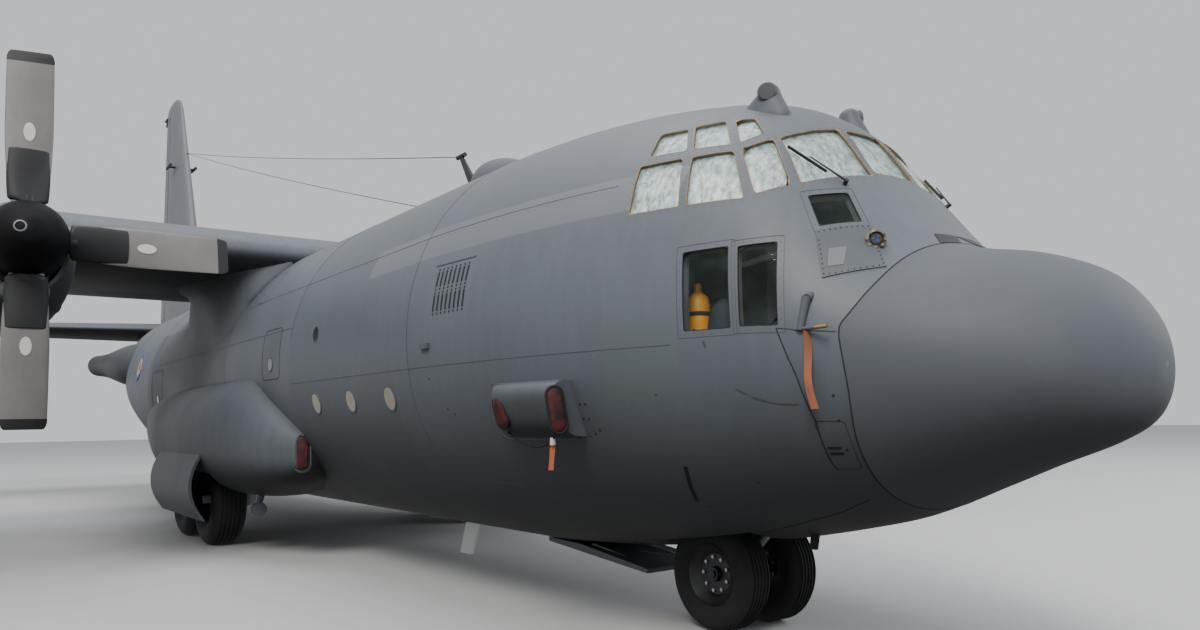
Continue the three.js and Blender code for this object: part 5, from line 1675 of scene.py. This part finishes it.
def build_tail():
    span = TAILPLANE["rows"][-1, 0]
    for side in SIDES:
        name, place = side_name(side), across_to(side)
        half = raw(f"tailplane_{name}_skin", foil_block(TAILPLANE, 0, span, place))
        line = foil_line(TAILPLANE, ELEVATOR, station=ELEVATOR_HINGE)
        cut(half, space_behind(line, place, -line[:, 3].max() - MOVE_GAP, MOVE_GAP))
        finished(half, "wing_paint")
        if side == PORT:
            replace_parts(half, "tailplane")
        to_object(f"tailplane_pads_{name}", nose_pads(line, place, ELEVATOR_RIBS), "dark_metal")
        build_surface(f"elevator_{name}", TAILPLANE, place, line, "wing_paint")


def build_fin():
    fin = raw("fin_skin", foil_block(FIN, 4.5, 11.66, upright))
    line = foil_line(FIN, RUDDER, station=RUDDER_HINGE)
    cut(fin, space_behind(line, upright, -line[:, 3].max() - MOVE_GAP, MOVE_GAP))
    finished(fin, "fin_paint")
    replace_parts(fin, "fin")
    to_object("fin_pads", nose_pads(line, upright, RUDDER_RIBS), "dark_metal")
    build_surface("rudder", FIN, upright, line, "fin_band_paint")


def build_fin_ridge():
    """The low ridge that rises along the hull's back into the fin."""
    ridge = [(19.6, 4.75), (21.0, 4.93), (22.3, 5.28), (23.4, 5.75), (24.4, 6.35)]
    foot, end = 4.62, ridge[-1][0]
    a = np.linspace(0, math.pi, 16)
    rings = []
    for s, top, _ in sample([[s, z, 0] for s, z in ridge], 20):
        half = 0.15 + 0.12 * (end - s) / 4.8
        height = foot + (top - foot) * np.sin(a) ** 0.7
        rings.append(np.stack([half * np.cos(a), np.full(16, s), height], 1))
    to_object("fin_ridge", loft(rings), "fin_paint", sharp=60)


def build_fin_fittings():
    """The tail lamp above the rudder and a small aerial on each side."""
    light = [bar_part([0, 27.86, 11.4], [0, 28.2, 11.42], 0.05),
             bar_part([0, 27.95, 11.42], [0, 28.08, 11.2], 0.035)]
    to_object("fin_light", light, "dark_metal")
    aerials = []
    for side in SIDES:
        aerials.append(bar_part([side * 0.1, 25.95, 9.4], [side * 0.36, 26.0, 9.4], 0.035))
        aerials.append(bar_part([side * 0.34, 25.75, 9.4], [side * 0.34, 26.3, 9.4], 0.045, 0.03))
    to_object("fin_aerials", aerials, "dark_metal")


# Engines and propellers

HUB_HEIGHT, INNER_ENGINE, OUTER_ENGINE, PROP_PLANE = 3.85, 4.98, 10.1, 9.1
OUTER_HEIGHT = HUB_HEIGHT + DIHEDRAL * (OUTER_ENGINE - WING_JOINT)
# Distance from the middle and height of each propeller's axis, from port to starboard
ENGINES = {
    1: (OUTER_ENGINE, OUTER_HEIGHT),
    2: (INNER_ENGINE, HUB_HEIGHT),
    3: (-INNER_ENGINE, HUB_HEIGHT),
    4: (-OUTER_ENGINE, OUTER_HEIGHT),
}
# Station, half width, top and bottom measured from the propeller axis
NACELLE = np.array([
    [9.36, 0.43, 0.44, -0.56],
    [9.65, 0.52, 0.52, -0.8],
    [10.5, 0.59, 0.6, -0.88],
    [11.6, 0.61, 0.7, -0.86],
    [12.7, 0.58, 0.64, -0.72],
    [13.7, 0.42, 0.44, -0.43],
    [14.25, 0.27, 0.26, -0.19],
])
# Radius, chord, thickness, pitch in degrees from the plane of rotation
BLADE = np.array([
    [0.3, 0.3, 0.15, 14],
    [0.62, 0.4, 0.088, 6],
    [1.25, 0.45, 0.048, -5],
    [1.96, 0.445, 0.022, -12],
    [2.02, 0.42, 0.018, -13],
    [2.05, 0.37, 0.014, -13],
])
# Where a blade's black tip starts
TIP_START = 1.94
# Radius and distance from the plane of the blades
SPINNER = [(0, -0.56), (0.15, -0.525), (0.285, -0.42), (0.37, -0.25), (0.41, 0),
           (0.41, 0.235), (0, 0.235)]


def nacelle_rings(x, z, grow, stations):
    """A grid of points on a nacelle, grown or shrunk, one row for each station."""
    half, top, bottom = (c[:, None] for c in smooth_rows(NACELLE, stations).T)
    t = angles_round(64)
    reach = np.where(np.sin(t)[None] >= 0, top + grow, -bottom + grow)
    return np.stack([
        x + (half + grow) * np.cos(t)[None],
        np.broadcast_to(np.asarray(stations)[:, None], reach.shape),
        z + reach * np.sin(t)[None],
    ], -1)


def build_cowl(number, x, z):
    stations = np.linspace(NACELLE[0, 0], NACELLE[-1, 0], 44)
    shell = tube_shell(nacelle_rings(x, z, 0, stations), nacelle_rings(x, z, -0.04, stations))
    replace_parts(to_object(f"cowl_{number}", shell, "wing_paint"), f"nacelle_{number}")
    seams = []
    for station in (9.75, 10.6, 11.5):
        pair = np.array([station, station + 0.008])
        seams.append(tube_shell(nacelle_rings(x, z, 0.002, pair), nacelle_rings(x, z, -0.01, pair)))
    for degrees in (-50, -130, 20, 160):
        path = nacelle_rings(x, z, 0.0, np.linspace(9.75, 11.5, 14))[:, round(degrees / 360 * 64) % 64]
        seams.append(sweep_part(path, 0.004, 6))
    to_object(f"cowl_seams_{number}", seams, "seam_dark")


def build_intake(number, x, z):
    """The cowl's front wall and the chin intake below the spinner, with a dark plate of painted shade in its
    mouth.
    """
    front, chin = NACELLE[0, 0], z - 0.53
    wall = [(0.075, 0), (0.41, 0.0), (0.41, 0.03), (0.075, 0.03)]
    to_object(f"cowl_front_{number}", lathe_part(wall, [x, front + 0.02, z], [0, 1, 0], 48), "dark_metal")
    steps = ((0.8, -0.05), (1.0, -0.03), (1.06, 0.12), (0.86, 0.18))
    lip = [upright_ring(x, front + back, chin, 0.24 * size, 0.13 * size) for size, back in steps]
    to_object(f"intake_lip_{number}", loft(lip), "panel_paint")
    # A dark plate in the mouth is painted shade for the inside of the intake
    mouth = [upright_ring(x, front + back, chin, 0.17, 0.085) for back in (-0.052, 0)]
    to_object(f"intake_mouth_shade_{number}", loft(mouth), "seam_dark")


def build_exhausts(number, x, z):
    pipe = [(0.12, 0), (0.13, 0.02), (0.13, 0.22), (0.11, 0.22), (0.11, 0.03), (0.0, 0.03)]
    for side in SIDES:
        start, out = [x + side * 0.42, 12.2, z - 0.3], [side * 0.55, 0.83, -0.1]
        to_object(f"exhaust_{number}_{side_name(side)}", lathe_part(pipe, start, out, 32),
                  "engine_metal_look")


def blade_ways(turn):
    """Outwards along a blade, and across it in the plane that it turns in."""
    return np.array([math.sin(turn), 0, math.cos(turn)]), np.array([math.cos(turn), 0, -math.sin(turn)])


def blade_rings(turn, radii, centre, grow=0.0, chord=None, thickness=None):
    """Sections of one blade; a chord and thickness of their own make a cuff round it."""
    out, across = blade_ways(turn)
    own_chord, own_thickness, pitch = smooth_rows(BLADE, radii).T
    chord = own_chord if chord is None else chord
    thickness = own_thickness if thickness is None else thickness
    t = angles_round(28)
    u = 0.5 * np.cos(t)
    v = 0.5 * np.sign(np.sin(t)) * np.abs(np.sin(t)) ** 1.2 * (1 - 0.25 * np.cos(t))
    rings = []
    for r, c, h, p in zip(radii, chord, thickness, np.radians(pitch)):
        du, dv = (c + 2 * grow) * u, (h + 2 * grow) * v
        ring = centre + out * r + np.outer(du * math.cos(p) - dv * math.sin(p), across)
        ring[:, 1] += du * math.sin(p) + dv * math.cos(p)
        rings.append(ring)
    return rings


# Rubber boot on the blade's root: radius, chord, thickness
BOOT = np.array([
    [0.37, 0.2, 0.19],
    [0.4, 0.34, 0.17],
    [0.42, 0.39, 0.16],
    [0.7, 0.41, 0.105],
    [0.96, 0.405, 0.088],
    [0.972, 0.38, 0.08],
])


BLADE_TURNS = [i * math.pi / 2 for i in range(4)]


def build_propeller(number, x, z):
    centre = np.array([x, PROP_PLANE, z])
    body = f"propeller_{number}"
    build_spinner(number, centre, body)
    bands = {"blade": (0.3, TIP_START, 0.0, "blade_grey", 26),
             "tip": (TIP_START - 0.005, 2.05, 0.0015, "blade_black", 14)}
    for kind, (first, last, grow, look, count) in bands.items():
        radii = np.linspace(first, last, count)
        parts = [loft(blade_rings(turn, radii, centre, grow)) for turn in BLADE_TURNS]
        to_object(f"{kind}_{number}", parts, look, body)
    radii = np.concatenate([BOOT[:3, 0], np.linspace(0.45, 0.955, 12), BOOT[-2:, 0]])
    chord, thickness = smooth_rows(BOOT, radii).T
    boots = [loft(blade_rings(turn, radii, centre, 0.0, chord, thickness)) for turn in BLADE_TURNS]
    to_object(f"boot_{number}", boots, "blade_black", body)
    build_blade_marks(number, centre, body)


def build_spinner(number, centre, body):
    """The spinner with its shaft and a small open port beside its tip, filled with a black disc of painted
    shade.
    """
    profile = [(0, -0.56), (0.1, -0.55), *smooth_profile(SPINNER[1:-1]), (0, 0.235)]
    spinner = lathe_part(profile, centre, [0, 1, 0], 64)
    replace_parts(to_object(f"spinner_{number}", spinner, "spinner_black", body), body)
    shaft = bar_part(centre + [0, 0.23, 0], centre + [0, 0.5, 0], 0.06)
    to_object(f"shaft_{number}", shaft, "bare_steel", body)
    place, outward = centre + [-0.1, -0.535, 0.03], [-0.25, -1, 0.1]
    rim = hoop_part([(0.062, -0.03), (0.062, 0.01), (0.046, 0.014), (0.044, -0.03)], place, outward, 32)
    to_object(f"spinner_rim_{number}", rim, "light_panel", body)
    # A black disc in the port is painted shade for the inside of the hole
    port_shade = lathe_part([(0, -0.03), (0.045, -0.03), (0.045, 0.0), (0, 0.002)], place, outward, 28)
    to_object(f"spinner_port_{number}", port_shade, "rubber_black", body)


def build_blade_marks(number, centre, body):
    """A plain pale oval on each blade, just outside its boot, and the round root that enters the spinner."""
    marks, roots = [], []
    radius = 1.16
    _, thickness, pitch = smooth_rows(BLADE, [radius])[0]
    along, square = math.cos(math.radians(pitch)), math.sin(math.radians(pitch))
    for turn in BLADE_TURNS:
        out, across = blade_ways(turn)
        chordwise = across * along + [0, square, 0]
        face = across * square - [0, along, 0]
        oval = centre + out * radius + around(chordwise * 0.055, out * 0.1, 32)
        marks.append(loft([oval + face * 0.01, oval + face * (thickness * 0.56 + 0.002)]))
        roots.append(bar_part(centre + out * 0.3, centre + out * 0.46, 0.1, 0.085, 32))
    to_object(f"blade_marks_{number}", marks, "marking_white", body)
    to_object(f"blade_roots_{number}", roots, "dark_metal", body)


# Wheels and gear

MAIN_TYRE = {"radius": 0.69, "width": 0.5}
NOSE_TYRE = {"radius": 0.48, "width": 0.31}
MAIN_X, NOSE_X, NOSE_STATION = 2.175, 0.29, 3.45
MAIN_WHEELS = {"front": 12.44, "rear": 13.96}


# Parts of the radius and of the half width, from the bead to the tread
TYRE_WALL = [(0.52, 0.66), (0.6, 0.86), (0.74, 1.0), (0.86, 0.97), (0.95, 0.82), (0.992, 0.6)]
RIM_WALL = [(0.36, 0.32), (0.42, 0.5), (0.5, 0.6), (0.55, 0.78)]


def tyre_profile(radius, half):
    """A tyre's section with five grooves in its tread."""
    wall = [(radius * r, -half * y) for r, y in TYRE_WALL]
    crown = []
    depth, narrow, wide = 0.012, 0.008, 0.0128
    for y in np.linspace(-half * 0.5, half * 0.5, 5):
        crown += [(radius, y - wide), (radius - depth, y - narrow)]
        crown += [(radius - depth, y + narrow), (radius, y + wide)]
    return wall + crown + [(r, -y) for r, y in reversed(wall)]


def build_wheel(name, x, station, size, body, node=None):
    """A grooved tyre with a hub, its bolts and its centre nut on both faces."""
    radius, half = size["radius"], size["width"] / 2
    centre = np.array([x, station, radius])
    tread = hoop_part(tyre_profile(radius, half), centre, [1, 0, 0], 96)
    tyre = to_object(f"tyre_{name}", tread, "tyre_black", body, 40)
    if node:
        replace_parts(tyre, node)
    wall = [(radius * r, half * y) for r, y in RIM_WALL]
    profile = [(0.0, -half * 0.3), *[(r, -y) for r, y in wall], (radius * 0.57, -half * 0.7),
               (radius * 0.56, half * 0.7), *wall[::-1], (0.0, half * 0.3)]
    rim = lathe_part(profile, centre, [1, 0, 0], 64)
    to_object(f"rim_{name}", rim, "hub_black", body, 30)

    def outwards(place, first, last, *sizes):
        """A bar on each face of the wheel, between two parts of its half width."""
        return [bar_part(place + [way * half * first, 0, 0], place + [way * half * last, 0, 0], *sizes)
                for way in (-1, 1)]

    bolts = []
    for a in angles_round(9):
        spot = centre + np.array([0, math.cos(a), math.sin(a)]) * radius * 0.3
        bolts += outwards(spot, 0.3, 0.42, radius * 0.035, None, 6)
    nuts = outwards(centre, 0.3, 0.56, radius * 0.14, radius * 0.12, 24)
    nuts += outwards(centre, 0.5, 0.66, radius * 0.07, None, 6)
    to_object(f"wheel_bolts_{name}", bolts, "bare_steel", body)
    to_object(f"wheel_nut_{name}", nuts, "hub_black", body)


def build_wheels():
    for side in SIDES:
        for place, station in MAIN_WHEELS.items():
            name = f"{place}_{side_name(side)}"
            build_wheel(name, side * MAIN_X, station, MAIN_TYRE, f"wheel_{name}", f"wheel_{name}")
        name = f"nose_{side_name(side)}"
        node = "nose_wheels" if side == PORT else None
        build_wheel(name, side * NOSE_X, NOSE_STATION, NOSE_TYRE, "nose_wheels", node)
    axle = bar_part([-NOSE_X, NOSE_STATION, 0.48], [NOSE_X, NOSE_STATION, 0.48], 0.045)
    to_object("nose_axle", axle, "bare_steel", "nose_wheels")


def build_nose_gear():
    """Links, collar, hoses and lamps of the nose gear's leg, and what stands behind and before it."""
    s = NOSE_STATION
    knee = [0, s - 0.3, 0.82]
    links = [bar_part([0, s - 0.1, 0.62], knee, 0.035), bar_part(knee, [0, s - 0.1, 1.02], 0.035)]
    to_object("nose_gear_links", links, "gear_white", "nose_steering")
    collar = [bar_part([0, s, 0.6], [0, s, 0.68], 0.09), bar_part([-0.16, s, 0.62], [0.16, s, 0.62], 0.03),
              bar_part([0.11, s - 0.02, 0.5], [0.11, s - 0.1, 0.66], 0.02)]
    to_object("nose_gear_collar", collar, "gear_white", "nose_steering")
    hoses = []
    for x in (-0.14, 0.13):
        points = [[x, s + 0.02, 1.75], [x * 1.6, s + 0.12, 1.5], [x * 1.3, s + 0.16, 1.25],
                  [x, s + 0.08, 1.08]]
        hoses.append(sweep_part(curve_through(points), 0.014, 8))
    to_object("nose_gear_hoses", hoses, "rubber_black")
    lamps, rods = [], []
    for side in SIDES:
        lamps.append(bar_part([side * 0.16, s - 0.11, 1.36], [side * 0.16, s - 0.17, 1.36], 0.085, 0.095, 32))
        lamps.append(bar_part([0, s - 0.04, 1.36], [side * 0.16, s - 0.12, 1.36], 0.025))
        rods.append(bar_part([-side * 0.28, 4.45, 0.4], [-side * 0.28, 5.3, 0.52], 0.03))
    to_object("nose_gear_lamps", lamps, "gear_white")
    to_object("nose_door_rods", rods, "gear_white")
    outline = [[-0.3, 2.36, 0.95], [-0.3, 2.43, 0.95], [-0.3, 2.45, 0.79], [-0.3, 2.39, 0.79]]
    to_object("nose_post", prism_part(outline, [1, 0, 0], 0.03), "rubber_black")


# Gear pods: station, centre distance, half width, centre height, half height
POD = np.array([
    [9.4, 1.9, 0.12, 1.45, 0.24],
    [9.65, 1.85, 0.39, 1.46, 0.4],
    [10.2, 1.75, 0.7, 1.54, 0.62],
    [11.0, 1.56, 1.1, 1.65, 0.87],
    [11.6, 1.5, 1.2, 1.66, 0.9],
    [14.7, 1.5, 1.2, 1.66, 0.89],
    [15.9, 1.55, 1.03, 1.74, 0.74],
    [16.9, 1.7, 0.72, 1.88, 0.5],
    [17.15, 1.8, 0.54, 1.93, 0.38],
])
# Well of the main gear: stations, distances from the middle, heights
WELL = ((11.5, 14.9), (1.25, 2.56), (0.3, 1.8))


def build_pods():
    """Rounded pods along the hull, open below for the main wheels."""
    nose = POD[0, 0] + 0.25 * np.linspace(0, 1, 8) ** 1.6
    stations = np.concatenate([nose, np.linspace(9.75, POD[-1, 0], 44)])
    middle, half, height, rise = (c[:, None] for c in smooth_rows(POD, stations).T)
    t = (angles_round(72) + math.pi / 72)[None]
    x = middle + np.sign(np.cos(t)) * half * np.abs(np.cos(t)) ** 0.8
    z = height + np.sign(np.sin(t)) * rise * np.abs(np.sin(t)) ** 0.8
    for side in SIDES:
        name = side_name(side)
        rings = np.stack([side * x, np.broadcast_to(stations[:, None], x.shape), z], -1)
        pod = raw(f"pod_{name}_skin", loft(rings))
        cut(pod, hull_block(9.0, 18.15, -0.03, 0.5))
        along, out, up = WELL
        cut(pod, box_part(sorted((side * out[0], side * out[1])), along, up))
        finished(pod, "pod_paint", sharp=50)
        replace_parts(pod, f"gear_pod_{name}")
        build_pod_intake(side, name)
        build_gear_door(side, name)


def build_pod_intake(side, name):
    """A tall round-ended mouth in the pod's nose with its padded cover, and the lamp below the pod."""
    middle = np.array([side * 1.92, 9.405, 1.44])
    out, up = unit([side * 0.35, -1.0, 0.0]), [0, 0, 1.0]
    across = np.cross(up, out)
    t = angles_round(48)
    half, straight = 0.095, 0.13

    def pill(grow, lift):
        wide = np.cos(t) * (half + grow)
        tall = np.sin(t) * (half + grow) + np.sign(np.sin(t)) * straight
        return middle + np.outer(wide, across) + np.outer(tall, up) + out * lift

    lip = loft([pill(0.045, -0.35), pill(0.035, -0.03), pill(0.015, 0.005), pill(-0.02, 0.004)])
    to_object(f"pod_intake_{name}", lip, "light_panel", sharp=60)
    cover = loft([pill(-0.005, -0.02), pill(-0.012, 0.02), pill(-0.04, 0.032)])
    to_object(f"pod_cover_{name}", cover, "cover_red", sharp=60)
    to_object(f"pod_cover_edge_{name}", tube_loop(pill(-0.005, 0.012), 0.009), "rubber_black")
    strut = bar_part([side * 1.95, 11.0, 0.9], [side * 2.02, 10.95, 0.66], 0.05, 0.04)
    lamp = bar_part([side * 2.02, 11.02, 0.62], [side * 2.02, 10.88, 0.62], 0.09, 0.1)
    to_object(f"pod_lamp_{name}", [strut, lamp], "panel_paint")


def build_gear_door(side, name):
    """The curved leaf that hangs beside the main wheels."""
    places = [[2.68, 1.4, 0], [2.8, 1.18, 0], [2.84, 0.93, 0], [2.79, 0.68, 0], [2.64, 0.45, 0]]
    arc = curve_through(places, 16)
    outline = np.concatenate([arc, (arc - [0.042, 0, 0])[::-1]])[:, :2]
    sections = [[[side * x, s, z] for x, z in outline] for s in (11.52, 14.25)]
    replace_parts(to_object(f"gear_leaf_{name}", swept(sections), "pod_paint"), f"gear_door_{name}")


# Cockpit and cabin

def build_side_kit():
    """A strapped oxygen bottle, a bag and a shelf behind the starboard window, with a green strip above."""
    upwards = [0, 0, 1]
    bottle = np.array([-1.27, 2.61, 2.34])
    profile = [(0.0, -0.02), (0.085, -0.02), (0.09, 0.0), (0.09, 0.3), (0.075, 0.36), (0.03, 0.4),
               (0.025, 0.46), (0.0, 0.46)]
    to_object("oxygen_bottle", lathe_part(profile, bottle, upwards, 40), "bottle_yellow")
    straps = []
    for z in (0.05, 0.22):
        band = [(0.094, z), (0.094, z + 0.03), (0.088, z + 0.03), (0.088, z)]
        straps.append(hoop_part(band, bottle, upwards, 40))
    straps.append(bar_part(bottle + [-0.07, -0.07, 0.05], bottle + [-0.07, 0.05, 0.26], 0.014))
    to_object("bottle_straps", straps, "webbing_black")
    profile = [(0.0, -0.03), (0.12, -0.03), (0.13, 0.1), (0.1, 0.26), (0.04, 0.33), (0.0, 0.34)]
    bag = lathe_part(smooth_profile(profile), bottle + [0.07, -0.2, 0], upwards, 32)
    to_object("kit_bag", bag, "bag_navy")
    strip = bar_part([-1.1, 1.93, 2.95], [-1.1, 2.31, 2.915], 0.024)
    to_object("cabin_strip", strip, "cabin_green")
    shelf = box_part((-1.3, -0.9), (2.2, 2.75), (2.27, 2.31))
    to_object("side_shelf", shelf, "cabin_grey")


def build_controls():
    """Three rows of dials on the instrument panel and a control wheel before each seat."""
    dials = []
    for z in (2.72, 2.92, 3.12):
        for x in np.arange(9) * 0.16 - 0.64:
            dials.append(bar_part([x, 2.185, z], [x, 2.2, z], 0.055, sides=20))
    to_object("panel_dials", dials, "dial_face")
    wheels = []
    for side in SIDES:
        base = np.array([side * 0.64, 2.45, 2.36])
        wheels.append(bar_part(base, base + [0, 0.05, 0.62], 0.03))
        turn = np.radians(np.linspace(-215, 35, 30))
        grip = [base + [0.17 * math.cos(a), 0.08, 0.66 + 0.13 * math.sin(a)] for a in turn]
        wheels.append(sweep_part(grip, 0.016, 8))
        wheels.append(bar_part(base + [-0.15, 0.08, 0.64], base + [0.15, 0.08, 0.64], 0.022))
    to_object("control_wheels", wheels, "instrument_black")


# Materials of the pieces that stay as the solids have them
NODE_LOOKS = {
    "flight_deck": "cabin_grey",
    "instrument_panel": "instrument_black",
    "seat_port": "seat_cloth",
    "seat_starboard": "seat_cloth",
    "cargo_floor": "floor_plate",
    "nose_gear_leg": "gear_white",
    "nose_gear_fork": "gear_white",
    "main_gear_port": "gear_white",
    "main_gear_starboard": "gear_white",
    "nose_gear_door": "panel_paint",
    **{f"engine_{number}": "engine_metal_look" for number in ENGINES},
}


def dress_nodes():
    for name, look in NODE_LOOKS.items():
        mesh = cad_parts[name].data
        mesh.materials.clear()
        mesh.materials.append(MATERIALS[look])


def build_markings():
    """A small plain ring of three tones on each side, with no national form."""
    rings = ((0.3, "mark_blue"), (0.2, "mark_yellow"), (0.1, "mark_red"))
    for side in SIDES:
        for i, (radius, look) in enumerate(rings):
            disc = side_disc(side, 20.0, 3.14, radius, 0.002 + 0.0015 * i, 48)
            to_object(f"side_mark_{i + 1}_{side_name(side)}", disc, look)


# Cone on each side of the tail: station, distance from the middle, height, radius
TAIL_POD = np.array([
    [21.9, 1.48, 3.34, 0.26],
    [22.7, 1.6, 3.35, 0.54],
    [24.2, 2.08, 3.41, 0.3],
    [24.65, 2.225, 3.43, 0.27],
])
# Rounding of its end: station, part of the radius
POD_NOSE = [(24.67, 0.95), (24.69, 0.8), (24.7, 0.4)]


def build_tail_pod(side):
    """A cone beside the tail, cut open where it lies inside the rear fuselage."""
    stations = np.linspace(TAIL_POD[0, 0], TAIL_POD[-1, 0], 30)
    rings = []
    for s, (x, z, r) in zip(stations, smooth_rows(TAIL_POD, stations)):
        rings.append(upright_ring(side * x, s, z, r, r))
    end = rings[-1]
    tip = end.mean(0)
    for s, size in POD_NOSE:
        rings.append((end - tip) * size + [tip[0], s, tip[2]])
    pod = raw(f"tail_pod_{side_name(side)}", loft(rings))
    cut(pod, hull_block(21.0, 25.5, -0.02, 0.25))
    finished(pod, "dark_pod", sharp=50)


# Studio

def build_floor():
    """A pale floor that throws no light back onto the plane."""
    bpy.ops.mesh.primitive_plane_add(size=120, location=(0, 0, 0))
    floor = bpy.context.object
    floor.name = "floor"
    principled("floor_pale", (0.5, 0.5, 0.495), 0.9)
    floor.data.materials.append(MATERIALS["floor_pale"])
    floor.visible_diffuse = False
    floor.visible_glossy = False


def build_sky():
    """A pale sky over a dim ground, with a soft change below the horizon."""
    world = bpy.data.worlds.new("studio")
    bpy.context.scene.world = world
    world.use_nodes = True
    tree = world.node_tree
    back = tree.nodes["Background"]
    back.inputs["Strength"].default_value = 0.9
    height = tree.nodes.new("ShaderNodeSeparateXYZ")
    tree.links.new(tree.nodes.new("ShaderNodeTexCoord").outputs["Generated"], height.inputs[0])
    sky = ramp(tree, height.outputs[2], -0.36, -0.1)
    tree.links.new(mix(tree, sky, (0.16, 0.156, 0.15), (0.8, 0.82, 0.86)), back.inputs["Color"])


# Square lamps: place in the model's frame, size, power, colour
LAMPS = {
    "key": ((-14, -16, 18), 9, 5200, (1.0, 0.98, 0.95)),
    "fill": ((14, -14, 9), 10, 1500, (0.92, 0.96, 1.0)),
    "top": ((0, 2, 22), 16, 2600, (0.97, 0.98, 1.0)),
}


def build_lamps():
    """Each lamp looks at a place one metre above the floor, below the middle of the plane."""
    aim = Vector((0, 0, 1))
    for name, (place, size, power, color) in LAMPS.items():
        data = bpy.data.lights.new(name, "AREA")
        data.size = size
        data.energy = power
        data.color = color
        lamp = bpy.data.objects.new(name, data)
        bpy.context.scene.collection.objects.link(lamp)
        lamp.location = place
        lamp.rotation_euler = (aim - Vector(place)).to_track_quat("-Z", "Y").to_euler()


def build_camera():
    """The photo's camera: 5.8 m to starboard of and 2.2 m ahead of the full-size nose tip."""
    turn, lift, lean = math.radians(36.807), math.radians(3.198), math.radians(-0.878)
    ahead = Vector((math.sin(turn) * math.cos(lift), math.cos(turn) * math.cos(lift), math.sin(lift)))
    level = Vector((math.cos(turn), -math.sin(turn), 0))
    above = level.cross(ahead)
    right = level * math.cos(lean) + above * math.sin(lean)
    up = above * math.cos(lean) - level * math.sin(lean)
    data = bpy.data.cameras.new("camera")
    data.sensor_width = 36
    data.lens = 26.83
    data.shift_y = 0.0453
    camera = bpy.data.objects.new("camera", data)
    place = Vector((-2.8845, -8.541, 0.909))
    camera.matrix_world = Matrix((
        (right.x, up.x, -ahead.x, place.x),
        (right.y, up.y, -ahead.y, place.y),
        (right.z, up.z, -ahead.z, place.z),
        (0, 0, 0, 1),
    ))
    bpy.context.scene.collection.objects.link(camera)
    bpy.context.scene.camera = camera


airframe_paints()
metal_and_rubber()
cloth_and_cabin()
glass()
foil()
build_radome()
build_nose()
build_centre()
build_rear()
build_rear_doors()
build_windows()
build_hull_lines()
build_hull_seams()
build_small_windows()
build_louvres()
build_nose_panels()
build_nose_sensor()
for fitting_side in SIDES:
    build_pitot(fitting_side)
build_roof_sensors()
build_roof_dome()
build_roof_mast()
build_antennas()
build_scoop()
build_scoop_covers()
build_scoop_cord()
build_wings()
build_wing_root()
build_tail()
build_fin()
build_fin_ridge()
build_fin_fittings()
for engine_number, (engine_x, engine_height) in ENGINES.items():
    build_cowl(engine_number, engine_x, engine_height)
    build_intake(engine_number, engine_x, engine_height)
    build_exhausts(engine_number, engine_x, engine_height)
    build_propeller(engine_number, engine_x, engine_height)
build_wheels()
build_nose_gear()
build_pods()
build_side_kit()
build_controls()
build_markings()
for pod_side in SIDES:
    build_tail_pod(pod_side)
dress_nodes()
build_floor()
build_sky()
build_lamps()
build_camera()
